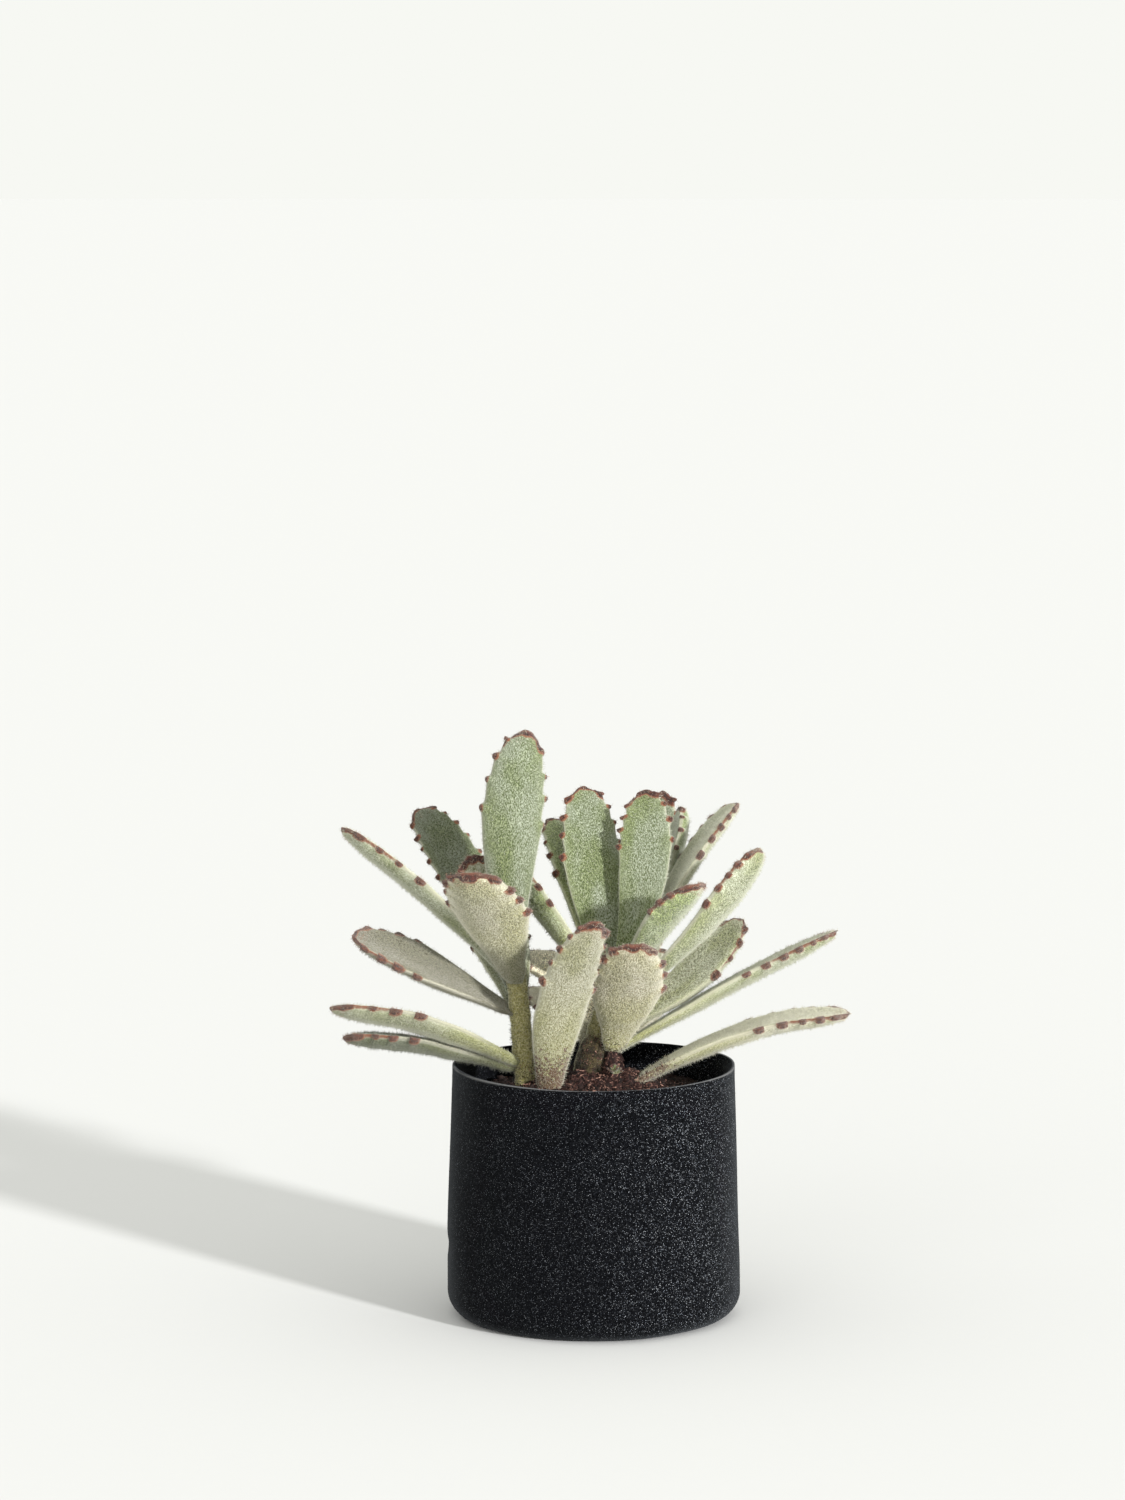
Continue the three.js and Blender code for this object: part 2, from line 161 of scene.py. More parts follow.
# The leaves folded at a stem's tip, and a tuft of new ones at the middle stem's foot: the direction, the lean
# from upright and the length of each.
BUD = [(20, 18, 6), (150, 24, 7), (260, 34, 5.5)]
SPROUT = {
    "at": (4.6, -6.0, 57.4),
    "leaves": [
        (190, 50, 2.1), (225, 30, 2.4), (245, 62, 2.2), (270, 12, 2.4), (290, 44, 2.1), (320, 28, 2.2),
        (335, 66, 2.2), (10, 48, 1.9), (40, 20, 2.1)],
    "scale": 0.2, "kind": {"light": 0.7, "sun": 2.0, "fuzz": 0.0}}

# Where old scales lie: the middles and reach of their heaps, the heights and the leaves that they cling to,
# and how much lower they end for each millimetre away from the middle stem.
LITTER = {
    "heaps": [
        (-0.5, -5, 7), (6, -6, 5.5), (12, -4, 5), (-9, -9, 4.5), (-15.5, -6, 4.5), (2.4, 11, 5), (19, 3, 7)],
    "low": 50, "high": 65, "fall": 0.35,
    "leaves": ["left_leaf_09", "middle_leaf_01", "middle_leaf_08", "left_leaf_07"]}

# Old scales gathered under the lowest leaf. Every heap has a middle, a width, a height and a lean to one
# side, and all have one profile of radius and height.
CLUMP = {
    "heaps": [
        (4.2, -2.6, 0.8, 1.0, 0.0), (6.8, -2.4, 1.2, 0.62, 0.1), (1.4, -4.2, 1.0, 0.45, 0.0),
        (9.8, -2.2, 1.1, 0.4, 0.2)],
    "profile": [
        (0, 0), (4.4, 0.1), (4.2, 2), (3.7, 4), (3.2, 6), (2.7, 8), (2.1, 9.8), (1.2, 11.2), (0, 11.7)],
    "foot": 49.5}

# Where the teeth start and end along a leaf, how far apart they are, how they crowd towards the tip, and
# where each has its knob, as a share of its own length.
TEETH = {"start": 0.47, "end": 0.95, "pitch": 5.0, "crowding": 1.3, "peak": 0.8}
TOOTHED = TEETH["end"] - TEETH["start"]
EDGE_ON = {"cap": 0.45, "stretch": 1.35, "line": 0.5}  # a leaf whose margin is turned to the front
ABOVE, BELOW = 0.22, 0.6  # a leaf's flat upper face and full lower one, as shares of its thickness
CROWN_PITCH = 0.0026  # metres between the knobs on a leaf's tip
RIM_HAIRS = 0.0004  # metres: how broad the pale line of hairs on a leaf's margin is

# ---------------------------------------------------------------- node trees


class Wire:
    """An output in a node tree. Arithmetic on it adds the maths nodes."""

    def __init__(self, tree, socket):
        self.tree, self.socket = tree, socket

    def __add__(self, other):
        return maths(self.tree, "ADD", self, other)

    def __sub__(self, other):
        return maths(self.tree, "SUBTRACT", self, other)

    def __rsub__(self, other):
        return maths(self.tree, "SUBTRACT", other, self)

    def __mul__(self, other):
        return maths(self.tree, "MULTIPLY", self, other)

    def __truediv__(self, other):
        return maths(self.tree, "DIVIDE", self, other)

    def __rtruediv__(self, other):
        return maths(self.tree, "DIVIDE", other, self)

    def __pow__(self, other):
        return maths(self.tree, "POWER", self, other)

    __radd__ = __add__


def join(tree, value, socket):
    """Wires or writes a value into a socket."""
    if isinstance(value, Wire):
        tree.links.new(value.socket, socket)
    elif isinstance(value, (int, float)) and socket.type == "VECTOR":
        socket.default_value = (value,) * 3
    else:
        socket.default_value = value


def put(tree, kind, given=None, out=0, **settings):
    """Adds a node with these settings and inputs, and gives back one of its outputs."""
    node = tree.nodes.new(kind)
    for name, value in settings.items():
        setattr(node, name, value)
    for key, value in (given or {}).items():
        join(tree, value, node.inputs[key])
    return Wire(tree, node.outputs[out])


def maths(tree, operation, *values):
    """A maths node, for vectors if one of its values is a vector."""
    vector = any(isinstance(v, tuple) or isinstance(v, Wire) and v.socket.type == "VECTOR" for v in values)
    kind = "ShaderNodeVectorMath" if vector else "ShaderNodeMath"
    out = 1 if operation == "DOT_PRODUCT" else 0  # a plain number comes out beside the vector
    return put(tree, kind, dict(enumerate(values)), out, operation=operation)


def smaller(value, other):
    return maths(value.tree, "MINIMUM", value, other)


def larger(value, other):
    return maths(value.tree, "MAXIMUM", value, other)


def dot(value, other):
    return maths(value.tree, "DOT_PRODUCT", value, other)


def smooth(value, low, high, start=0.0, end=1.0):
    """A soft step of a value from start at low to end at high."""
    given = {"Value": value, "From Min": low, "From Max": high, "To Min": start, "To Max": end}
    return put(value.tree, "ShaderNodeMapRange", given, interpolation_type="SMOOTHSTEP")


def bell(value, width):
    """1 where a value is nought, falling to a third at a width."""
    share = value / width
    return maths(value.tree, "EXPONENT", share * share * -1.0)


def noise(tree, place, scale, detail=2.0, rough=0.5, **more):
    given = {"Vector": place, "Scale": scale, "Detail": detail, "Roughness": rough, **more}
    return put(tree, "ShaderNodeTexNoise", given)


def cells(tree, place, scale):
    """How far a place is from the middle of its own cell, as in a heap of grains."""
    return put(tree, "ShaderNodeTexVoronoi", {"Vector": place, "Scale": scale, "Randomness": 1.0})


def vector_of(tree, x=0.0, y=0.0, z=0.0):
    return put(tree, "ShaderNodeCombineXYZ", {"X": x, "Y": y, "Z": z})


def parts_of(tree, vector):
    """The three parts of a vector."""
    node = put(tree, "ShaderNodeSeparateXYZ", {"Vector": vector}).socket.node
    return [Wire(tree, socket) for socket in node.outputs]


SOCKETS = {
    int: "NodeSocketInt", float: "NodeSocketFloat", tuple: "NodeSocketVector",
    bpy.types.Material: "NodeSocketMaterial"}


def new_tree(name, inputs):
    """An empty geometry tree with these named inputs, and the wires that they come in on."""
    tree = bpy.data.node_groups.new(name, "GeometryNodeTree")
    tree.is_modifier = True
    tree.interface.new_socket("Geometry", in_out="INPUT", socket_type="NodeSocketGeometry")
    tree.interface.new_socket("Geometry", in_out="OUTPUT", socket_type="NodeSocketGeometry")
    for label, value in inputs.items():
        socket = tree.interface.new_socket(label, in_out="INPUT", socket_type=SOCKETS[type(value)])
        socket.default_value = value
    entry = tree.nodes.new("NodeGroupInput")
    return tree, {socket.name: Wire(tree, socket) for socket in entry.outputs if socket.name}


def end_tree(tree, geometry, material, flat=False):
    """Closes a tree: instances are made real, shaded and given their material."""
    real = put(tree, "GeometryNodeRealizeInstances", {"Geometry": geometry})
    shaded = put(tree, "GeometryNodeSetShadeSmooth", {"Geometry": real, "Shade Smooth": not flat})
    finished = put(tree, "GeometryNodeSetMaterial", {"Geometry": shaded, "Material": material})
    tree.links.new(finished.socket, tree.nodes.new("NodeGroupOutput").inputs[0])


def keep(geometry, name, value, domain="POINT", kind="FLOAT"):
    """Stores a value on the geometry for the materials to read."""
    given = {"Geometry": geometry, "Name": name, "Value": value}
    return put(geometry.tree, "GeometryNodeStoreNamedAttribute", given, data_type=kind, domain=domain)


def welded(geometry, distance):
    """Points that are this close become one, which closes seams and ends."""
    given = {"Geometry": geometry, "Distance": distance}
    return put(geometry.tree, "GeometryNodeMergeByDistance", given)


def random_value(tree, low, high, seed):
    given = {2: low, 3: high, "Seed": seed}  # its first two inputs are for vectors
    return put(tree, "FunctionNodeRandomValue", given, out=1, data_type="FLOAT")


def linked(name, data):
    thing = bpy.data.objects.new(name, data)
    bpy.context.scene.collection.objects.link(thing)
    return thing


def grown(name, tree, inputs, base=None):
    """A plain mesh piece: what a geometry tree makes of a base mesh."""
    bed = linked(name + "_bed", base or bpy.data.meshes.new(name))
    modifier = bed.modifiers.new("maker", "NODES")
    modifier.node_group = tree
    for item in tree.interface.items_tree:
        if item.in_out == "INPUT" and item.name in inputs:
            modifier[item.identifier] = inputs[item.name]
    graph = bpy.context.evaluated_depsgraph_get()
    result = bed.evaluated_get(graph)
    mesh = bpy.data.meshes.new_from_object(result, preserve_all_data_layers=True, depsgraph=graph)
    bpy.data.objects.remove(bed)
    mesh.name = name
    return linked(name, mesh)


def merged(name, things):
    """One piece from several."""
    with bpy.context.temp_override(active_object=things[0], selected_editable_objects=things):
        bpy.ops.object.join()
    things[0].name = things[0].data.name = name
    return things[0]


# ---------------------------------------------------------------- finishes


def paint(red, green, blue):
    """A linear colour from 8-bit screen values."""
    shares = [value / 255 for value in (red, green, blue)]
    linear = [share / 12.92 if share <= 0.04 else ((share + 0.055) / 1.055) ** 2.4 for share in shares]
    return (*linear, 1.0)


def blend_colours(tree, share, first, second):
    given = {"Factor": share, 6: first, 7: second}  # its colours come after its numbers and vectors
    return put(tree, "ShaderNodeMix", given, out=2, data_type="RGBA")


def kept(tree, name, out="Fac"):
    """A value, or with out="Vector" three of them, that was stored on the mesh."""
    return put(tree, "ShaderNodeAttribute", out=out, attribute_name=name)


def new_finish(name, sheen=None, specular=0.5, gloss=(1, 1, 1, 1)):
    """An empty material, its tree, the place on the piece and the surface's shader."""
    finish = bpy.data.materials.new(name)
    finish.use_nodes = True
    tree = finish.node_tree
    surface = tree.nodes["Principled BSDF"]
    surface.inputs["Specular IOR Level"].default_value = specular
    surface.inputs["Specular Tint"].default_value = gloss
    if sheen:
        weight, rough, tint = sheen
        surface.inputs["Sheen Weight"].default_value = weight
        surface.inputs["Sheen Roughness"].default_value = rough
        surface.inputs["Sheen Tint"].default_value = tint
    place = put(tree, "ShaderNodeTexCoord", out="Object")
    return finish, tree, place, surface


def painted_sheen(tree, colour, pale, strength):
    """A painted sheen: a colour that turns pale where the surface turns away from the view, standing in for
    light caught by hairs that stand there.
    """
    turning = put(tree, "ShaderNodeLayerWeight", {"Blend": 0.5}, out="Facing")
    return blend_colours(tree, smooth(turning, 0.45, 0.95) * strength, colour, pale)


def coat(tree, surface, colour, roughness, height=None, strength=0.5, depth=0.0003):
    """Wires a colour, a roughness and a bump into the surface."""
    join(tree, colour, surface.inputs["Base Color"])
    join(tree, roughness, surface.inputs["Roughness"])
    if height is not None:
        bump = put(tree, "ShaderNodeBump", {"Strength": strength, "Distance": depth, "Height": height})
        join(tree, bump, surface.inputs["Normal"])


def curled_hairs(tree, place, scale):
    """How far a place is covered by short, curled, flattened hairs."""
    curls = noise(tree, place, scale, 1.0, 0.6, Distortion=0.6)
    return smooth(curls, 0.38, 0.64)


def brown_of_teeth(tree):
    """How brown a leaf is: knobs on the teeth of its margins and a crown of larger ones round its tip."""
    from_knob = kept(tree, "from_knob", "Vector")
    knob = maths(tree, "EXPONENT", dot(from_knob, from_knob) * -1.0)
    knob = knob * smooth(kept(tree, "rust"), 0.18, 0.32)
    _, from_edge, high = parts_of(tree, kept(tree, "from_tip", "Vector"))
    depth = kept(tree, "cap_depth")
    cap = bell(from_edge, depth) * bell(high, depth + 0.0004) * kept(tree, "at_tip")
    line = bell(from_edge, 0.0006) * bell(high, 0.0006) * kept(tree, "line")
    return larger(larger(knob, line), cap)


def leaf_velvet():
    """Grey-green skin under a felt of short pale hairs, brown on its teeth and tip, creamier as it ages."""
    finish, tree, place, surface = new_finish(
        "leaf velvet", sheen=(0.25, 0.5, (1, 0.99, 0.95, 1)), specular=0.5, gloss=(0.92, 0.97, 1, 1))
    age, sun, scurf, tone_and_painted_light = (kept(tree, name) for name in ("age", "sun", "scurf", "tone_and_painted_light"))

    # The skin, clouded, and yellow where the sun is on it.
    deep_green = blend_colours(tree, age, paint(68, 80, 36), paint(98, 91, 58))
    grain = kept(tree, "grain", "Vector")
    clouds = smooth(noise(tree, grain, 170.0, 2.0), 0.38, 0.64)
    clouded = blend_colours(tree, age, paint(94, 102, 66), paint(136, 127, 98))
    green = blend_colours(tree, clouds * 0.7, deep_green, clouded)
    green = blend_colours(tree, sun * 0.6, green, paint(134, 132, 58))

    # The hairs over it, closer towards the margin. The leaf's painted light and shade: above 1 it brightens
    # only the hairs, below 1 it darkens skin and hairs alike.
    hairs = curled_hairs(tree, grain, 5600.0)
    grey = blend_colours(tree, age, paint(164, 171, 148), paint(206, 198, 178))
    thin = blend_colours(tree, age, paint(136, 146, 98), paint(186, 178, 146))
    pale = blend_colours(tree, sun * 0.55, blend_colours(tree, clouds, thin, grey), paint(194, 192, 128))
    _, from_edge, high = parts_of(tree, kept(tree, "from_tip", "Vector"))
    fuzzy = kept(tree, "fuzz")
    covered = larger(hairs, bell(from_edge, 0.0018) * fuzzy)
    shade = smaller(tone_and_painted_light, 1.0)
    tone = shade * (1.0 - covered) + tone_and_painted_light * covered
    skin = blend_colours(tree, covered, green, pale)
    skin = maths(tree, "MULTIPLY", skin, vector_of(tree, tone, tone, tone))
    rim = bell(high, RIM_HAIRS) * bell(from_edge, RIM_HAIRS) * smooth(fuzzy, 0.0, 0.3)
    skin = blend_colours(tree, rim * 0.65, skin, paint(234, 229, 208))
    dust = smooth(scurf + (noise(tree, place, 1000.0, 3.0, 0.7) - 0.5) * 3.2, 0.75, 1.05)
    skin = blend_colours(tree, dust * 0.85, skin, paint(88, 52, 38))

    # The brown of the teeth and tip, with a tan border and a ragged edge.
    ragged = brown_of_teeth(tree) + (noise(tree, place, 900.0, 3.0) - 0.5) * 0.25
    tan = blend_colours(tree, smooth(ragged, 0.22, 0.42), skin, paint(122, 74, 48))
    mottle = smooth(noise(tree, place, 1100.0, 3.0), 0.4, 0.7)
    maroon = blend_colours(tree, mottle, paint(28, 7, 3), paint(72, 23, 12))
    maroon = blend_colours(tree, hairs * 0.08, maroon, paint(176, 108, 78))
    colour = blend_colours(tree, smooth(ragged, 0.4, 0.62), tan, maroon)
    brown = smooth(ragged, 0.3, 0.6)
    colour = blend_colours(tree, rim * brown * 0.15, colour, paint(210, 148, 116))

    # A painted sheen on the leaf's turned-away sides, fainter on the brown and on leaves painted darker.
    painted_sheen_colour = blend_colours(tree, age, paint(214, 216, 198), paint(232, 226, 206))
    colour = painted_sheen(tree, colour, painted_sheen_colour, (1.0 - brown) * shade * 0.7)
    height = hairs * 0.6 + noise(tree, place, 420.0, 2.0) * 0.4
    coat(tree, surface, colour, 0.95 - hairs * (1.0 - brown) * 0.42, height, 0.7, 0.00025)
    return finish


def leaf_down():
    """The short white hairs that stand on a leaf."""
    finish, tree, _, surface = new_finish("leaf down", sheen=(0.3, 0.3, (1, 1, 0.95, 1)), specular=0.2)
    tone, rust, age, tone_and_painted_light = (kept(tree, name) for name in ("tone", "rust", "age", "tone_and_painted_light"))
    white = blend_colours(tree, tone, paint(148, 154, 128), paint(208, 209, 190))
    white = blend_colours(tree, age * 0.6, white, paint(206, 196, 172))
    # Painted shade: on a leaf darkened as painted shade, its hairs darken towards dark green too.
    white = blend_colours(tree, smaller(tone_and_painted_light, 1.0), paint(40, 44, 30), white)
    warm = smooth(larger(rust, kept(tree, "at_tip") * 0.5), 0.3, 0.8)
    coat(tree, surface, blend_colours(tree, warm * 0.8, white, paint(150, 104, 84)), roughness=0.8)
    return finish


def stem_skin():
    """Olive skin that turns brown and corky towards the foot, under pale down and dark specks."""
    finish, tree, place, surface = new_finish(
        "stem skin", sheen=(0.25, 0.4, (0.95, 0.95, 0.8, 1)), specular=0.2)
    cork = kept(tree, "cork")
    hairs = curled_hairs(tree, place, 2600.0)
    young = blend_colours(tree, hairs * 0.5, paint(128, 122, 74), paint(192, 186, 144))
    bark = smooth(noise(tree, place, 620.0, 4.0), 0.42, 0.62)
    old = blend_colours(tree, bark, paint(42, 36, 24), paint(76, 66, 44))
    border = smooth(cork + (noise(tree, place, 300.0, 3.0) - 0.5) * 0.9, 0.3, 0.75)
    colour = blend_colours(tree, border, young, old)
    speck = smooth(cells(tree, place, 1300.0), 0.2, 0.36, 1.0, 0.0)
    speck = speck * smooth(noise(tree, place, 260.0), 0.4, 0.55)
    colour = blend_colours(tree, speck * (cork * 0.7 + 0.3), colour, paint(34, 22, 17))
    # A painted sheen on the stem's turned-away sides.
    colour = painted_sheen(tree, colour, paint(220, 216, 182), 0.85)
    height = hairs * 0.6 + noise(tree, place, 500.0, 4.0) * (cork + 0.3)
    coat(tree, surface, colour, smooth(hairs, 0.0, 1.0, 0.95, 0.75), height, 0.8, 0.0005)
    return finish


def charcoal_felt():
    """Pressed black wool: matted fibres in every direction, pale ends among them that are painted brighter on
    the lit side, and a lighter cut edge.
    """
    finish, tree, place, surface = new_finish(
        "charcoal felt", sheen=(0.05, 0.4, (0.85, 0.93, 1, 1)), specular=0.03)
    x, _, _ = parts_of(tree, place)
    # Turned askew, so that no layer of the noise runs along the wall and shows as rings.
    askew = {"Vector": place, "Rotation": (0.7, 0.5, 0.3)}
    place = put(tree, "ShaderNodeVectorRotate", askew, rotation_type="EULER_XYZ")
    mat = noise(tree, place, 2600.0, 2.0, 0.6, Distortion=1.0)
    patch = smooth(noise(tree, place, 120.0, 3.0), 0.3, 0.7)
    wool = blend_colours(tree, smooth(mat, 0.36, 0.62), paint(2, 2, 3), paint(10, 11, 14))
    grains = cells(tree, place, 4700.0)
    tint, strength, _ = parts_of(tree, Wire(tree, grains.socket.node.outputs["Color"]))
    painted_lit_side = smooth(x, -0.008, 0.028, 0.5, 1.5)  # painted light: the pale ends grow stronger towards +X, the side the key lamp falls on
    ends = smooth(grains, 0.2, 0.45, 1.0, 0.0) * strength ** 6.0 * (patch * 0.3 + 0.7) * painted_lit_side
    ends = smaller(ends, 1.0)
    pale = blend_colours(tree, tint, paint(118, 126, 140), paint(206, 210, 214))
    wool = blend_colours(tree, ends * 0.9, wool, pale)
    # A painted sheen on the felt's turned-away sides.
    wool = painted_sheen(tree, wool, paint(60, 62, 65), 0.3)
    colour = blend_colours(tree, kept(tree, "cut_edge") * 0.6, wool, paint(118, 118, 118))
    height = mat + noise(tree, place, 3600.0, 2.0) * 0.5 + patch * 0.4
    coat(tree, surface, colour, smooth(mat, 0.3, 0.7, 1.0, 0.85), height, 0.5, 0.0002)
    return finish


def felt_fibre():
    """Loose wool that stands off the felt."""
    finish, tree, place, surface = new_finish("felt fibre", specular=0.2)
    tone = kept(tree, "tone")
    grey = blend_colours(tree, tone ** 8.0, paint(8, 8, 10), paint(120, 124, 132))
    shade = noise(tree, place, 600.0, 2.0)
    coat(tree, surface, blend_colours(tree, shade * 0.4, grey, paint(12, 12, 15)), roughness=0.7)
    return finish


def potting_earth():
    """Damp peat: reddish brown crumbs with darker hollows."""
    finish, tree, place, surface = new_finish("potting earth", specular=0.3)
    tone = kept(tree, "tone")
    grain = noise(tree, place, 900.0, 4.0, 0.65)
    dark = blend_colours(tree, smooth(grain, 0.35, 0.65), paint(14, 9, 8), paint(42, 27, 23))
    colour = blend_colours(tree, smooth(tone, 0.7, 1.0) * 0.5, dark, paint(72, 42, 34))
    height = grain + noise(tree, place, 2600.0, 2.0) * 0.4
    coat(tree, surface, colour, smooth(grain, 0.3, 0.7, 0.98, 0.78), height, 0.9, 0.0005)
    return finish


def dry_husk():
    """Reddish scales and curls left from old leaves, some bleached pale."""
    finish, tree, place, surface = new_finish("dry husk", specular=0.3)
    fibres = noise(tree, place, 1400.0, 3.0, 0.6)
    tone = kept(tree, "tone")
    dry = blend_colours(tree, tone ** 6.0, paint(50, 24, 20), paint(196, 150, 132))
    colour = blend_colours(tree, smooth(fibres, 0.4, 0.62), paint(24, 12, 10), dry)
    coat(tree, surface, colour, smooth(fibres, 0.3, 0.7, 0.9, 0.7), fibres, 0.6, 0.0002)
    return finish


VELVET, DOWN, STEM_SKIN, FELT, FIBRE, EARTH, HUSK = (
    leaf_velvet(), leaf_down(), stem_skin(), charcoal_felt(), felt_fibre(), potting_earth(), dry_husk()
)

# ---------------------------------------------------------------- trees for the pieces

BLADE_INPUTS = {
    "Root": (0.0, 0.0, 0.0),
    "Bend": (0.0, 0.0, 0.02),
    "Tip": (0.0, 0.0, 0.05),
    "Outwards": (1.0, 0.0, 0.0),
    "Length": 0.05,
    "Roll": 0.0,
    "Width": 0.0125,
    "Thickness": 0.004,
    "Base Width": 0.36,
    "Widest At": 0.58,
    "Tip Power": 2.1,
    "Cup": 0.16,
    "Teeth": 4,
    "Tooth Height": 0.0007,
    "Knob Radius": 0.00105,
    "Knob Height": 0.0005,
    "Knob Stretch": 1.0,
    "Cap At": 0.91,
    "Cap Width": 1.0,
    "Line": 0.3,
    "Rust": 1.0,
    "Age": 0.0,
    "Sun": 0.0,
    "Scurf": 0.4,
    "Lightness": 1.0,
    "Foot Painted Light": 1.0,
    "Fuzz": 0.45,
    "Seed": 0,
    "Columns": 32,
    "Rows": 140,
    "Finish": VELVET,
}


def centre_line(tree, given, here):
    """The point at a share of a leaf's length, and the directions along, out of its upper face and across."""
    left = 1.0 - here
    root, bend, tip = given["Root"], given["Bend"], given["Tip"]
    point = root * (left * left) + bend * (left * here * 2.0) + tip * (here * here)
    along = maths(tree, "NORMALIZE", (bend - root) * left + (tip - bend) * here)
    out, up = given["Outwards"], (0.0, 0.0, 1.0)
    upper = maths(tree, "MULTIPLY", up, dot(along, out)) - out * dot(along, up)
    upper = maths(tree, "NORMALIZE", upper - along * dot(along, upper))
    upper = put(tree, "ShaderNodeVectorRotate", {"Vector": upper, "Axis": along, "Angle": given["Roll"]})
    return point, along, upper, maths(tree, "CROSS_PRODUCT", along, upper)


def outline_of(given, here):
    """How wide a blade is at a share of its length, as a share of its full width."""
    base, widest, power = given["Base Width"], given["Widest At"], given["Tip Power"]
    beyond = smaller(larger((here - widest) / (1.0 - widest), 0.0), 1.0)
    outline = (base + (1.0 - base) * smooth(here, 0.02, widest)) * (1.0 - beyond ** power) ** (1.0 / power)
    return outline * smooth(here, -0.03, 0.1, 0.5, 1.0)


def tooth_at(tree, given, share, across, seed):
    """How far a point is through its tooth, the teeth in a whole length here, a chance for each tooth, and 1
    where there are teeth."""
    crowding = TEETH["crowding"]
    passed = larger((share - TEETH["start"]) / TOOTHED, 0.001)
    count = passed ** crowding * given["Teeth"]
    teeth_a_length = passed ** (crowding - 1.0) * given["Teeth"] * (crowding / TOOTHED)
    number = maths(tree, "FLOOR", count)
    begun = maths(tree, "GREATER_THAN", share, TEETH["start"])
    toothed = begun * maths(tree, "LESS_THAN", count, given["Teeth"])
    own = vector_of(tree, number, maths(tree, "SIGN", across), seed)
    chance = put(tree, "ShaderNodeTexWhiteNoise", {"Vector": own})
    return count - number, teeth_a_length, chance, toothed


